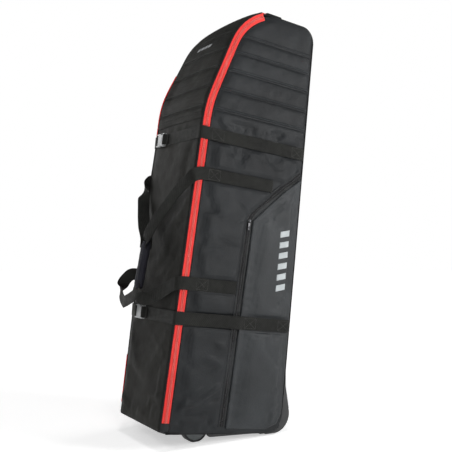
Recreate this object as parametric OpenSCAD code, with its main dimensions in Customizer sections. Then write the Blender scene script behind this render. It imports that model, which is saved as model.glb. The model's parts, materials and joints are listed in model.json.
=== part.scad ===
// Soft-sided golf travel case on two wheels and two feet.
// Every module is drawn in the case's own upright axes: x across, y from the front (-) to the
// back panel (0), z along the height. stand() then leans the case back on its wheels and feet.

/* [Case] */
// Width of the case at the bottom
width_bottom = 330; // [300:5:360]
// Width of the case at the top
width_top = 280; // [260:5:300]
// Angle by which the case leans back when it stands
lean = 7; // [5:0.5:8]
// Thickness of the fabric side panels
side_t = 6; // [4:1:8]
// Thickness of the back panel
back_t = 8; // [6:1:10]
// Thickness of the front lid and of the quilted hood
lid_t = 12; // [8:1:12]

/* [Webbing] */
// Width of the straps and handles
web_w = 38; // [30:1:40]
// Thickness of the webbing
web_t = 2.4; // [1.5:0.1:2.6]
// Height of the upper strap's middle
upper_strap_z = 897; // [890:1:905]
// Height of the lower strap's middle
lower_strap_z = 358; // [345:1:360]
// Height of the upper handle anchors
upper_anchor_z = 778; // [770:1:790]
// Height of the lower handle anchors
lower_anchor_z = 458; // [450:1:465]

/* [Zips] */
// Width of one half of the main zip's tape
tape_w = 14; // [10:1:15]
// Thickness of the zip tapes
tape_t = 2; // [1:0.5:2.5]

/* [Wheels and feet] */
// Radius of the wheels
wheel_r = 38; // [35:1:40]
// Width of the wheels
wheel_w = 24; // [20:1:26]
// Distance of each wheel's middle from the middle of the case
wheel_x = 95; // [90:1:98]
// Radius of the axles
axle_r = 4; // [3.5:0.5:4]
// Radius of the half-round feet
foot_r = 41; // [38:1:42]
// Width of the feet
foot_w = 24; // [18:1:28]

/* [Hidden] */
$fn = 64;
big = 3000;

// The side faces close in towards the top by the same angle on both sides.
taper_h = 1300;
taper = atan((width_bottom - width_top) / 2 / taper_h);
function half_width(z) = (width_bottom - (width_bottom - width_top) * z / taper_h) / 2;

// Standing: the foot's centre stays where it is, and the case turns back round it.
foot_y = -265;
foot_z = foot_r;
sole_cut = 1;
centre_x = 17.5;
centre_y = -134;
function floor_z(y) = foot_z + (y - foot_y) * tan(lean) - (foot_r - sole_cut) / cos(lean);
module stand() {
    translate([centre_x, centre_y, foot_r - sole_cut])
        rotate([-lean, 0, 0])
            translate([0, -foot_y, -foot_z])
                children();
}

// The zip's centre line in the side view is a straight run, a bend, a slope and the crown's arc.
// Each point is [y, z, tilt], where tilt is the line's angle from the vertical.
front_tilt = 2.43;
slope_tilt = 18.4;
crown_tilt = 64;
bend_r = 350;
crown_r = 185;
zip_low = [-397.2, 68];
bend_low_z = 936;
bend_low_y = zip_low[0] + (bend_low_z - zip_low[1]) * tan(front_tilt);
bend_y = bend_low_y + bend_r * cos(front_tilt);
bend_z = bend_low_z - bend_r * sin(front_tilt);
slope_len = 164;
crown_low_y = bend_y - bend_r * cos(slope_tilt) + slope_len * sin(slope_tilt);
crown_low_z = bend_z + bend_r * sin(slope_tilt) + slope_len * cos(slope_tilt);
crown_y = crown_low_y + crown_r * cos(slope_tilt);
crown_z = crown_low_z - crown_r * sin(slope_tilt);
function on_arc(y, z, r, tilt) = [y - r * cos(tilt), z + r * sin(tilt), tilt];
function straight_run(z0, z1) = [for (z = [z0, z1])
    [zip_low[0] + (z - zip_low[1]) * tan(front_tilt), z, front_tilt]];
function bend_point(tilt) = on_arc(bend_y, bend_z, bend_r, tilt);
function bend_run(from_tilt) = [for (i = [1:4])
    bend_point(from_tilt + (slope_tilt - from_tilt) * i / 4)];
function crown_run(end_tilt) = [for (i = [0:8])
    on_arc(crown_y, crown_z, crown_r, slope_tilt + (end_tilt - slope_tilt) * i / 8)];
// A point moved out from the zip line by d
function out_by(p, d) = [p[0] - d * cos(p[2]), p[1] + d * sin(p[2])];
function rim(points, d) = [for (p = points) out_by(p, d)];
function reversed(list) = [for (i = [len(list) - 1:-1:0]) list[i]];

// The lid is fixed below the fold line, and the hood folds forward above it.
lid_out = 15;
fold_z = 946;
fold_gap = 1;
fold_tilt = asin((fold_z - bend_z) / bend_r);
half_gap = fold_gap / 2 / bend_r * 180 / PI;
function lid_line(low) = concat(straight_run(low, bend_low_z), [bend_point(fold_tilt - half_gap)]);
top_z = 1306;
case_low_z = 40;
hood_line = concat([bend_point(fold_tilt + half_gap)], bend_run(fold_tilt), crown_run(crown_tilt));
side_line = concat(straight_run(case_low_z, bend_low_z), bend_run(front_tilt), crown_run(crown_tilt));
rear_corner_r = 45;
inner_x = side_t + 0.4;

module along_x(x0, x1) {
    translate([x0, 0, 0])
        rotate([90, 0, 90])
            linear_extrude(x1 - x0)
                children();
}
// Draws the region between two lines parallel to the zip line
module strip(points, d0, d1) {
    polygon(concat(rim(points, d0), reversed(rim(points, d1))));
}
// Places children on the right side face, with x = 0 on the face and pointing out of it
module on_side() {
    translate([width_bottom / 2, 0, 0])
        rotate([0, -taper, 0])
            children();
}
module both_sides() {
    children();
    mirror([1, 0, 0])
        children();
}
module left_hand() {
    mirror([1, 0, 0])
        children();
}
// All of the space between the two side faces, grown outward by d
module between_sides(d) {
    rotate([90, 0, 0])
        translate([0, 0, -big / 2])
            linear_extrude(big)
                polygon([[-half_width(0) - d, 0], [half_width(0) + d, 0],
                         [half_width(taper_h * 1.1) + d, taper_h * 1.1],
                         [-half_width(taper_h * 1.1) - d, taper_h * 1.1]]);
}
module x_cylinder(r, x0, x1) {
    translate([x0, 0, 0])
        rotate([0, 90, 0])
            cylinder(r = r, h = x1 - x0);
}
module x_tube(r_out, r_in, x0, x1) {
    difference() {
        x_cylinder(r_out, x0, x1);
        x_cylinder(r_in, x0 - 1, x1 + 1);
    }
}
module below_floor() {
    translate([0, foot_y, floor_z(foot_y)])
        rotate([lean, 0, 0])
            translate([-big / 2, -big / 2, -big])
                cube([big, big, big]);
}

// A flat band of constant thickness along a line drawn in plan
function unit(v) = v / norm(v);
function side_of(v) = [v[1], -v[0]];
function corner_out(points, i) =
    let (a = i > 0 ? unit(points[i] - points[i - 1]) : unit(points[1] - points[0]),
         b = i < len(points) - 1 ? unit(points[i + 1] - points[i]) : a,
         n = unit(side_of(a) + side_of(b)))
    n / (n * side_of(a));
function shifted(points, d) = [for (i = [0:len(points) - 1]) points[i] + d * corner_out(points, i)];
module band(points, t) {
    polygon(concat(points, reversed(shifted(points, t))));
}

// Webbing that hangs in space: a smooth line through a few points, with its width upright
function between(a, b, c, d, t) = 0.5 * (2 * b + (c - a) * t + (2 * a - 5 * b + 4 * c - d) * t * t
    + (3 * b - a - 3 * c + d) * t * t * t);
function smooth(points, steps) = concat([for (i = [0:len(points) - 2], k = [0:steps - 1])
    between(points[max(i - 1, 0)], points[i], points[i + 1],
            points[min(i + 2, len(points) - 1)], k / steps)], [points[len(points) - 1]]);
function heading(points, i) = unit(points[min(i + 1, len(points) - 1)] - points[max(i - 1, 0)]);
function upright(dir) = unit([0, 0, 1] - ([0, 0, 1] * dir) * dir);
function web_ring(p, dir) = let (w = upright(dir) * web_w / 2, n = cross(dir, upright(dir)) * web_t / 2)
    [p + w + n, p + w - n, p - w - n, p - w + n];
module webbing(points) {
    line = smooth(points, 4);
    last = len(line) - 1;
    corners = [for (i = [0:last]) each web_ring(line[i], heading(line, i))];
    walls = [for (i = [0:last - 1], k = [0:3])
        let (a = 4 * i + k, b = 4 * i + (k + 1) % 4)
        each [[a, b, b + 4], [a, b + 4, a + 4]]];
    ends = [[0, 3, 2], [0, 2, 1], [4 * last, 4 * last + 1, 4 * last + 2],
            [4 * last, 4 * last + 2, 4 * last + 3]];
    polyhedron(corners, concat(walls, ends), convexity = 4);
}

/* ---- shell ---- */

housing_in_x = 66;
housing_out_x = 154;
housing_front_y = -66;
housing_top_z = 178;
tray_low_z = 34;
tray_top_z = 42;

board_z = 45;
board_t = 4;

tray_x = half_width(tray_top_z) - side_t - 0.8;
tray_front_y = -392;
tray_r = 35;
module base_tray() {
    color("#2b2c2e")
        difference() {
            translate([0, 0, tray_low_z])
                linear_extrude(tray_top_z - tray_low_z) {
                    translate([-tray_x, tray_front_y + tray_r])
                        square([2 * tray_x, -2 - tray_front_y - tray_r]);
                    translate([tray_r - tray_x, tray_front_y])
                        square([2 * (tray_x - tray_r), tray_r + 1]);
                    for (x = [tray_r - tray_x, tray_x - tray_r])
                        translate([x, tray_front_y + tray_r])
                            circle(r = tray_r);
                }
            both_sides()
                translate([housing_in_x - 0.5, housing_front_y - 0.5, 0])
                    cube([100, 100, 100]);
        }
}
module base_board() {
    color("#3a3a3a")
        translate([-115, -386, board_z])
            cube([230, 386 + housing_front_y - 2, board_t]);
}
screw_head_r = 4.5;
screw_head_h = 2.4;
module base_screws() {
    color("silver")
        both_sides()
            for (p = [[98, -330], [98, -200], [135, -250], [135, -100]])
                translate([p[0], p[1], tray_top_z])
                    difference() {
                        cylinder(r = screw_head_r, h = screw_head_h, $fn = 32);
                        translate([-3, -0.6, screw_head_h - 1])
                            cube([6, 1.2, 2]);
                    }
}
module back_outline() {
    top = top_z - rear_corner_r - 1;
    side = inner_x + 0.2;
    polygon([[-half_width(housing_top_z) + side, housing_top_z + 4],
             [-housing_in_x + 0.6, housing_top_z + 4], [-housing_in_x + 0.6, tray_top_z + 1],
             [housing_in_x - 0.6, tray_top_z + 1], [housing_in_x - 0.6, housing_top_z + 4],
             [half_width(housing_top_z) - side, housing_top_z + 4],
             [half_width(top) - side, top], [-half_width(top) + side, top]]);
}
module back_panel() {
    color("#1c1d20")
        rotate([90, 0, 0])
            linear_extrude(back_t)
                back_outline();
}
module back_stiffener() {
    color("#4a4a4a")
        translate([-105, -back_t - 4, housing_top_z + 12])
            cube([210, 3.6, 1030]);
}
module side_outline() {
    difference() {
        polygon(concat(rim(side_line, 0), [[-150, top_z], [0, top_z], [0, case_low_z],
                [-200, case_low_z - 4]]));
        rear_cut();
        // rounded lower rear corner, just inside the wheel housing's skin
        difference() {
            translate([-52, case_low_z - 20])
                square([100, 72]);
            translate([-52, case_low_z + 50])
                circle(r = 52);
        }
    }
}
module rear_cut() {
    difference() {
        translate([-rear_corner_r, top_z - rear_corner_r])
            square([rear_corner_r + 10, rear_corner_r + 10]);
        translate([-rear_corner_r, top_z - rear_corner_r])
            circle(r = rear_corner_r);
    }
}
module right_side_panel() {
    color("#1b1c1f")
        on_side()
            along_x(-side_t, 0)
                side_outline();
}
module left_side_panel() {
    left_hand()
        right_side_panel();
}
pad_low_z = 958;
module right_side_padding() {
    pad_line = concat(bend_run(asin((pad_low_z - bend_z) / bend_r)), crown_run(crown_tilt - 6));
    color("#55565a")
        on_side()
            along_x(-side_t - 8.4, -side_t - 0.4)
                polygon(concat(rim(pad_line, -14), [[-170, top_z - 16], [-60, top_z - 16],
                        [-22, top_z - 50], [-22, pad_low_z]]));
}
module left_side_padding() {
    left_hand()
        right_side_padding();
}
front_low_z = 46;
module front_panel() {
    color("#1d1d1b")
        intersection() {
            along_x(-200, 200)
                strip(lid_line(front_low_z), lid_out, lid_out - lid_t);
            between_sides(0);
        }
}
top_front_y = -195;
module top_panel() {
    flat_x = half_width(top_z - 10) - inner_x - 0.2;
    color("#1b1c1f")
        along_x(-flat_x, flat_x)
            difference() {
                union() {
                    translate([top_front_y, top_z - 9])
                        square([-rear_corner_r - top_front_y, 9]);
                    difference() {
                        translate([-rear_corner_r, top_z - rear_corner_r])
                            circle(r = rear_corner_r);
                        translate([-rear_corner_r, top_z - rear_corner_r])
                            circle(r = rear_corner_r - 9);
                        translate([-rear_corner_r - 100, top_z - rear_corner_r - 100])
                            square([100, 200]);
                        translate([-rear_corner_r - 1, top_z - rear_corner_r - 100])
                            square([100, 100]);
                    }
                }
            }
}
piping_r = 2.5;
module rear_piping() {
    color("#303030")
        both_sides()
            on_side()
                translate([-3, piping_r + 0.2, housing_top_z + 20])
                    cylinder(r = piping_r, h = top_z - rear_corner_r - housing_top_z - 22, $fn = 24);
}
handle_y = [-181, -121];
module top_handle() {
    edge = 134;
    low = top_z + 0.3;
    color("#151515")
        translate([0, handle_y[1], 0])
            rotate([90, 0, 0])
                linear_extrude(handle_y[1] - handle_y[0])
                    polygon([[-edge, low], [-edge, low + 9], [-100, low + 12], [-56, low + 27],
                             [56, low + 27], [100, low + 12], [edge, low + 9], [edge, low],
                             [88, low], [50, low + 19], [-50, low + 19], [-88, low]]);
}

/* ---- zips ---- */

seam = 1;
module zip_tape_shell() {
    rear_line = concat(straight_run(zip_low[1], bend_low_z), bend_run(front_tilt), crown_run(crown_tilt));
    color("#e0453f") {
        both_sides()
            on_side()
                along_x(0.1, tape_t)
                    strip(rear_line, -seam / 2, -tape_w);
        translate([-half_width(top_z) + 8, top_front_y + 1, top_z + 0.1])
            cube([2 * half_width(top_z) - 16, tape_w - 2, tape_t]);
    }
}
module zip_tape_lid() {
    color("#e0453f")
        both_sides()
            on_side()
                along_x(0.1, tape_t)
                    strip(lid_line(zip_low[1]), lid_out - 0.6, seam / 2);
}
module zip_tape_hood() {
    color("#e0453f") {
        both_sides()
            on_side()
                along_x(0.1, tape_t)
                    strip(hood_line, lid_out - 0.6, seam / 2);
        intersection() {
            along_x(-200, 200)
                strip([for (t = [crown_tilt - 4, crown_tilt])
                    on_arc(crown_y, crown_z, crown_r, t)], lid_out + tape_t, lid_out + 0.1);
            between_sides(-3);
        }
    }
}
// A slider is a plate with a bridge on it, and the pull's eye swings on the bar under the bridge.
// Both are drawn with the travel along x and the zip's face at z = 0.
plate = [14, 11, 2.6];
bridge_half = 4.5;
bridge_w = 4;
bridge_low = 5.4;
bridge_top = 7.2;
eye_z = 4.1;
eye_bar = 1.6;
eye_in = 5.9;
pull_w = 9;
pull_len = 34;
module slider() {
    translate([-plate[0] / 2, -plate[1] / 2, 0])
        cube(plate);
    translate([-bridge_half, -bridge_w / 2, bridge_low])
        cube([2 * bridge_half, bridge_w, bridge_top - bridge_low]);
    for (x = [-bridge_half, bridge_half - 2])
        translate([x, -bridge_w / 2, plate[2] - 0.1])
            cube([2, bridge_w, bridge_low - plate[2] + 0.2]);
}
module slider_pull() {
    difference() {
        union() {
            translate([0, -pull_w / 2, eye_z - eye_bar / 2])
                cube([pull_len, pull_w, eye_bar]);
            translate([0, pull_w / 2, eye_z])
                rotate([90, 0, 0])
                    cylinder(r = eye_bar / 2, h = pull_w);
        }
        translate([eye_bar / 2, -bridge_w / 2 - 0.8, 0])
            cube([eye_in - eye_bar / 2, bridge_w + 1.6, bridge_top]);
        translate([pull_len - 9, 0, 0])
            cylinder(r = 2, h = bridge_top);
    }
}
slider_y = -200;
slider_z = top_z + 6.5;
slider_rest_x = 17;
module at_main_slider() {
    translate([slider_rest_x, slider_y, slider_z])
        children();
}
module right_main_slider() {
    color("#c8c8c8")
        at_main_slider()
            slider();
}
module left_main_slider() {
    left_hand()
        right_main_slider();
}
module right_main_pull() {
    color("#d4403a")
        at_main_slider()
            slider_pull();
}
module left_main_pull() {
    left_hand()
        right_main_pull();
}

/* ---- hood ---- */

module hood() {
    color("#1f1f1d")
        intersection() {
            along_x(-200, 200)
                strip(hood_line, lid_out, lid_out - lid_t);
            between_sides(0);
        }
}
module hood_padding() {
    pad_line = concat(bend_run(fold_tilt + 1), crown_run(crown_tilt - 2));
    color("#55565a")
        intersection() {
            along_x(-200, 200)
                strip(pad_line, lid_out - lid_t - 0.4, -6);
            between_sides(-side_t - 10);
        }
}
badge_tilt = 24;
module badge() {
    color("silver")
        translate([-8, crown_y - (crown_r + lid_out) * cos(badge_tilt),
                   crown_z + (crown_r + lid_out) * sin(badge_tilt)])
            rotate([90 - badge_tilt, 0, 0])
                translate([-26, -8, 0.2])
                    cube([52, 16, 2]);
}

/* ---- side pocket ---- */

pocket_t = 6;
pocket_zip_t = 2.6;
pocket_top = [-183, 672];
pocket_low = [-214, 52];
pocket_tilt = atan((pocket_top[0] - pocket_low[0]) / (pocket_top[1] - pocket_low[1]));
module pocket_panel() {
    color("#26282d")
        on_side()
            along_x(0.2, pocket_t)
                polygon([pocket_low + [14, 0], pocket_top + [14, -6], [-125, 709], [-65, 767],
                         [-4, 816], [-4, 96], [-20, 62], [-60, 46]]);
}
module pocket_zip() {
    color("#2e2f31")
        on_side()
            along_x(0.2, pocket_zip_t)
                polygon([[pocket_low[0] - 11, pocket_low[1]], pocket_low + [12, 0],
                         pocket_top + [12, -2], [-128, 713], [-68, 771], [-6, 822], [-4, 842],
                         [-73, 788], [-134, 730], pocket_top + [-11, 4]]);
}
pocket_slider_size = 0.8;
pocket_slider_x = pocket_zip_t + 0.3;
pocket_slider_drop = 12;
module at_pocket_slider() {
    on_side()
        translate([pocket_slider_x, pocket_top[0] - pocket_slider_drop * tan(pocket_tilt),
                   pocket_top[1] - pocket_slider_drop])
            rotate([-pocket_tilt, 0, 0])
                rotate([0, 90, 0])
                    scale(pocket_slider_size)
                        children();
}
module pocket_slider() {
    color("#9a9a9a")
        at_pocket_slider()
            slider();
}
module pocket_pull() {
    color("#7d7d7d")
        at_pocket_slider()
            slider_pull();
}

/* ---- straps and buckles ---- */

// Lines of a strap in plan at height z: out of the right side face and round the front corner
function front_y(z) = zip_low[0] + (z - zip_low[1]) * tan(front_tilt) - lid_out / cos(front_tilt);
function round_corner(z, gap) =
    let (x = half_width(z) + gap, y = front_y(z) - 1.6, r = 4)
    [for (a = [0:30:90]) [x - r + r * cos(a), y + r - r * sin(a)]];
module strap(z, rear_points, corner_gap, x_end) {
    line = concat(rear_points, round_corner(z, corner_gap), [[x_end, front_y(z) - 1.6]]);
    translate([0, 0, z - web_w / 2])
        linear_extrude(web_w)
            band(line, -web_t);
}
tape_gap = 3.4;
module upper_strap(x_end) {
    z = upper_strap_z;
    flat = half_width(z) + 1.2;
    strap(z, [[flat, -3], [flat, -335], [half_width(z) + tape_gap, -345]], tape_gap, x_end);
}
module lower_strap(x_end, gap, over_zip) {
    z = lower_strap_z;
    x = half_width(z);
    strap(z, [[x + gap, -5], [x + gap, -176], [x + over_zip, -188], [x + over_zip, -210],
              [x + tape_gap + 0.6, -250]], tape_gap, x_end);
}
buckle_t = 11;
buckle_w = 46;
socket_len = 36;
plug_len = 24;
prong_len = 24;
buckle_wall = 2;
upper_buckle_x = -90;
lower_buckle_x = -54;
module upper_strap_right() {
    color("#20211d")
        upper_strap(upper_buckle_x + socket_len - 6);
}
module upper_strap_left() {
    color("#20211d")
        left_hand()
            upper_strap(-upper_buckle_x + plug_len - 8);
}
module lower_strap_right() {
    color("#20211d")
        lower_strap(lower_buckle_x + socket_len - 6, pocket_t + 1.8, pocket_t + 3.8);
}
module lower_strap_left() {
    color("#20211d")
        left_hand()
            lower_strap(-lower_buckle_x + plug_len - 8, tape_gap, tape_gap);
}
// The buckle opens at x = 0: the socket is on +x, and the plug's prongs reach into it from -x
module buckle_at(x, z) {
    translate([x, front_y(z) - 1.6 - web_t - 0.5, z])
        children();
}
module socket_shape() {
    translate([0, -buckle_t, -buckle_w / 2])
        difference() {
            cube([socket_len, buckle_t, buckle_w]);
            translate([-1, buckle_wall, buckle_wall + 2])
                cube([prong_len + 3, buckle_t - 2 * buckle_wall, buckle_w - 2 * buckle_wall - 4]);
            translate([socket_len - 8, -1, 5])
                cube([4, buckle_t - 3, buckle_w - 10]);
        }
}
module plug_shape() {
    translate([0, -buckle_t, -buckle_w / 2]) {
        translate([-plug_len, 0, 0])
            difference() {
                cube([plug_len - 0.4, buckle_t, buckle_w]);
                translate([4, -1, 5])
                    cube([5, buckle_t - 3, buckle_w - 10]);
            }
        for (z = [buckle_wall + 2.6, buckle_w / 2 - 2.5, buckle_w - buckle_wall - 7.6])
            translate([-1, buckle_wall + 0.6, z])
                cube([prong_len + 1, buckle_t - 2 * buckle_wall - 1.2, 5]);
    }
}
module upper_buckle_socket() {
    color("#b9bcbf")
        buckle_at(upper_buckle_x, upper_strap_z)
            socket_shape();
}
module upper_buckle_plug() {
    color("#b9bcbf")
        buckle_at(upper_buckle_x, upper_strap_z)
            plug_shape();
}
module lower_buckle_socket() {
    color("#b9bcbf")
        buckle_at(lower_buckle_x, lower_strap_z)
            socket_shape();
}
module lower_buckle_plug() {
    color("#b9bcbf")
        buckle_at(lower_buckle_x, lower_strap_z)
            plug_shape();
}

/* ---- carry handles ---- */

module anchor(y0, y1, z, gap) {
    on_side()
        translate([gap, y0, z - web_w / 2])
            cube([web_t, y1 - y0, web_w]);
}
module handle_anchors() {
    color("#1f201d") {
        anchor(-342, -108, upper_anchor_z, 0.3);
        anchor(-348, -208, lower_anchor_z, 0.3);
        left_hand() {
            anchor(-342, -108, upper_anchor_z, 0.3);
            anchor(-348, -208, lower_anchor_z, 0.3);
        }
    }
}
right_upper_web = [[155, -344, 778], [157, -384, 768], [140, -397, 752], [109, -408, 724],
                   [78, -419, 685], [46, -431, 644], [22, -440, 606], [10, -444, 576]];
right_lower_web = [[160.5, -350, 458], [162.5, -392, 457], [157, -405, 455], [144, -409, 451],
                   [112, -413, 436], [78, -419, 419], [43, -429, 404], [20, -440, 398], [10, -446, 406]];
left_upper_web = [[-155, -344, 778], [-158, -386, 772], [-152, -412, 746], [-133, -422, 712],
                  [-100, -427, 660], [-60, -431, 616], [-28, -434, 592], [-10, -435, 576]];
left_lower_web = [[-160.5, -350, 458], [-163, -384, 468], [-178, -408, 466], [-192, -424, 442],
                  [-190, -434, 414], [-164, -438, 388], [-124, -440, 380], [-84, -444, 386],
                  [-50, -447, 396], [-26, -448, 404]];
module right_handle_webbing() {
    color("#1f201d") {
        webbing(right_upper_web);
        webbing(right_lower_web);
    }
}
module left_handle_webbing() {
    color("#1f201d") {
        webbing(left_upper_web);
        webbing(left_lower_web);
    }
}
grip_low = [-2, -448, 430];
grip_top = [2, -439, 566];
module handle_grip() {
    color("#23242a")
        hull() {
            translate(grip_low)
                scale([1.35, 1, 1])
                    cylinder(r = 14, h = 1, $fn = 24);
            translate(grip_top)
                scale([1.35, 1, 1])
                    cylinder(r = 14, h = 1, $fn = 24);
        }
}

/* ---- inside ---- */

module interior_straps() {
    color("#1f201d")
        for (z = [430, 840])
            translate([-100, -back_t - 4 - web_t - 0.3, z])
                cube([200, web_t, web_w]);
}
module interior_buckles() {
    color("#151515")
        for (z = [430, 840])
            translate([-30, -back_t - 4 - web_t - 0.6 - buckle_t, z - 3])
                cube([60, buckle_t, web_w + 6]);
}

/* ---- feet, skids and wheels ---- */

foot_x = 98;
tread_t = 6;
module foot_half(r_out, r_in) {
    difference() {
        translate([foot_x, foot_y, foot_z])
            x_cylinder(r_out, -foot_w / 2, foot_w / 2);
        translate([0, -big / 2, tray_low_z - 0.2])
            cube([big, big, big]);
        below_floor();
        if (r_in > 0)
            translate([foot_x, foot_y, foot_z])
                x_cylinder(r_in, -big / 4, big / 4);
    }
}
module right_foot() {
    color("#8d9093")
        foot_half(foot_r - tread_t - 0.1, 0);
}
module left_foot() {
    left_hand()
        right_foot();
}
module right_foot_tread() {
    color("#26272a")
        foot_half(foot_r, foot_r - tread_t);
}
module left_foot_tread() {
    left_hand()
        right_foot_tread();
}
module right_skid() {
    color("#2b2c2e")
        along_x(129, 141)
            polygon([[-240, tray_low_z - 0.2], [-240, 26], [-234, 21], [-78, 29], [-70, tray_low_z - 0.2]]);
}
module left_skid() {
    left_hand()
        right_skid();
}
axle_y = 5;
axle_z = floor_z(axle_y) + wheel_r / cos(lean);
well_r = wheel_r + 5;
slot_half = wheel_w / 2 + 2.5;
wall = 3;
housing_r = 55;
housing_cz = 89;
module housing_outline() {
    difference() {
        union() {
            polygon([[housing_front_y, 30], [-26, 34], [0, 60], [26, 110], [6, housing_top_z],
                     [-back_t, housing_top_z], [-back_t, 160], [-40, 122], [housing_front_y, 110]]);
            intersection() {
                translate([-26, housing_cz])
                    circle(r = housing_r);
                translate([-26, 0])
                    square([100, housing_cz + 18]);
            }
        }
    }
}
module housing_hollow() {
    polygon([[housing_front_y - 5, 30 + wall], [-26, 34 + wall], [8, 48 + wall], [20, 74], [22, 100],
             [4, housing_top_z - wall], [-back_t - 5, housing_top_z - wall],
             [-back_t - 5, 160 + 20], [housing_front_y - 5, 160]]);
}
// The rim that closes the side panel's lower rear corner, out to the side face
guard_out_x = 163;
module corner_guard() {
    along_x(housing_out_x - 1, guard_out_x)
        difference() {
            housing_outline();
            translate([-52, case_low_z + 50])
                circle(r = 53.2);
            translate([-100, case_low_z + 50])
                square([101.2, 100]);
            translate([-100, 0])
                square([48, 100]);
        }
}
module right_wheel_housing() {
    color("#5a5c5f")
        difference() {
            union() {
                along_x(housing_in_x, housing_out_x)
                    difference() {
                        housing_outline();
                        housing_hollow();
                    }
                for (x = [housing_in_x, wheel_x - slot_half - wall, wheel_x + slot_half,
                          housing_out_x - wall])
                    along_x(x, x + wall)
                        housing_outline();
                corner_guard();
                along_x(wheel_x - slot_half - 1, wheel_x + slot_half + 1)
                    intersection() {
                        housing_outline();
                        translate([axle_y, axle_z])
                            circle(r = well_r + wall);
                    }
            }
            translate([0, axle_y, axle_z]) {
                x_cylinder(well_r, wheel_x - slot_half, wheel_x + slot_half);
                x_cylinder(axle_r, wheel_x - 40, wheel_x + 40);
            }
        }
}
module left_wheel_housing() {
    left_hand()
        right_wheel_housing();
}
module at_axle() {
    translate([wheel_x, axle_y, axle_z])
        children();
}
module right_axle() {
    head = slot_half + wall;
    color("silver")
        at_axle() {
            x_cylinder(axle_r, -head - 0.5, head + 0.5);
            x_cylinder(axle_r * 1.7, -head - 4, -head - 0.1);
            x_cylinder(axle_r * 1.7, head + 0.1, head + 4);
        }
}
module left_axle() {
    left_hand()
        right_axle();
}
bearing_r = 11;
bearing_w = 7;
bearing_x = 6;
hub_r = 26;
run_gap = 0.05;
module right_wheel_bearings() {
    color("silver")
        at_axle()
            for (x = [-bearing_x - bearing_w / 2, bearing_x - bearing_w / 2])
                translate([x, 0, 0])
                    x_tube(bearing_r, axle_r + run_gap, 0, bearing_w);
}
module left_wheel_bearings() {
    left_hand()
        right_wheel_bearings();
}
module right_wheel_hub() {
    color("#6f7276")
        at_axle()
            difference() {
                x_cylinder(hub_r, -wheel_w / 2 + 1, wheel_w / 2 - 1);
                x_cylinder(bearing_r, -wheel_w, -bearing_x + bearing_w / 2);
                x_cylinder(bearing_r, bearing_x - bearing_w / 2, wheel_w);
                x_cylinder(axle_r + 2, -wheel_w, wheel_w);
                for (a = [0:60:300])
                    rotate([a, 0, 0])
                        translate([0, 0, (hub_r + bearing_r) / 2 + 0.5])
                            x_cylinder(4, -wheel_w, wheel_w);
            }
}
module left_wheel_hub() {
    left_hand()
        right_wheel_hub();
}
module right_wheel_tyre() {
    color("#191a1c")
        at_axle()
            rotate([0, 90, 0])
                rotate_extrude()
                    intersection() {
                        translate([hub_r, -wheel_w / 2])
                            square([wheel_r - hub_r, wheel_w]);
                        translate([wheel_r - 14, 0])
                            circle(r = 14);
                    }
}
module left_wheel_tyre() {
    left_hand()
        right_wheel_tyre();
}

stand() base_tray();
stand() base_board();
stand() base_screws();
stand() back_panel();
stand() back_stiffener();
stand() right_side_panel();
stand() left_side_panel();
stand() right_side_padding();
stand() left_side_padding();
stand() front_panel();
stand() top_panel();
stand() rear_piping();
stand() top_handle();
stand() zip_tape_shell();
stand() zip_tape_lid();
stand() right_main_slider();
stand() right_main_pull();
stand() left_main_slider();
stand() left_main_pull();
stand() hood();
stand() hood_padding();
stand() zip_tape_hood();
stand() badge();
stand() pocket_panel();
stand() pocket_zip();
stand() pocket_slider();
stand() pocket_pull();
stand() upper_strap_right();
stand() upper_strap_left();
stand() upper_buckle_socket();
stand() upper_buckle_plug();
stand() lower_strap_right();
stand() lower_strap_left();
stand() lower_buckle_socket();
stand() lower_buckle_plug();
stand() right_handle_webbing();
stand() left_handle_webbing();
stand() handle_anchors();
stand() handle_grip();
stand() interior_straps();
stand() interior_buckles();
stand() right_foot();
stand() left_foot();
stand() right_foot_tread();
stand() left_foot_tread();
stand() right_skid();
stand() left_skid();
stand() right_wheel_housing();
stand() left_wheel_housing();
stand() right_axle();
stand() left_axle();
stand() right_wheel_hub();
stand() left_wheel_hub();
stand() right_wheel_tyre();
stand() left_wheel_tyre();
stand() right_wheel_bearings();
stand() left_wheel_bearings();
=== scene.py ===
"""Golf travel case: the visual model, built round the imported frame.

Lengths are in millimetres in the case's own upright axes: x across, y from the front (-) to the back
panel (0), z along the height. place() leans them back and turns them into the frame's metres.
"""
import json
import math

import bmesh
import bpy
import numpy as np
from mathutils import Matrix, Vector
from mathutils.geometry import delaunay_2d_cdt


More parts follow.
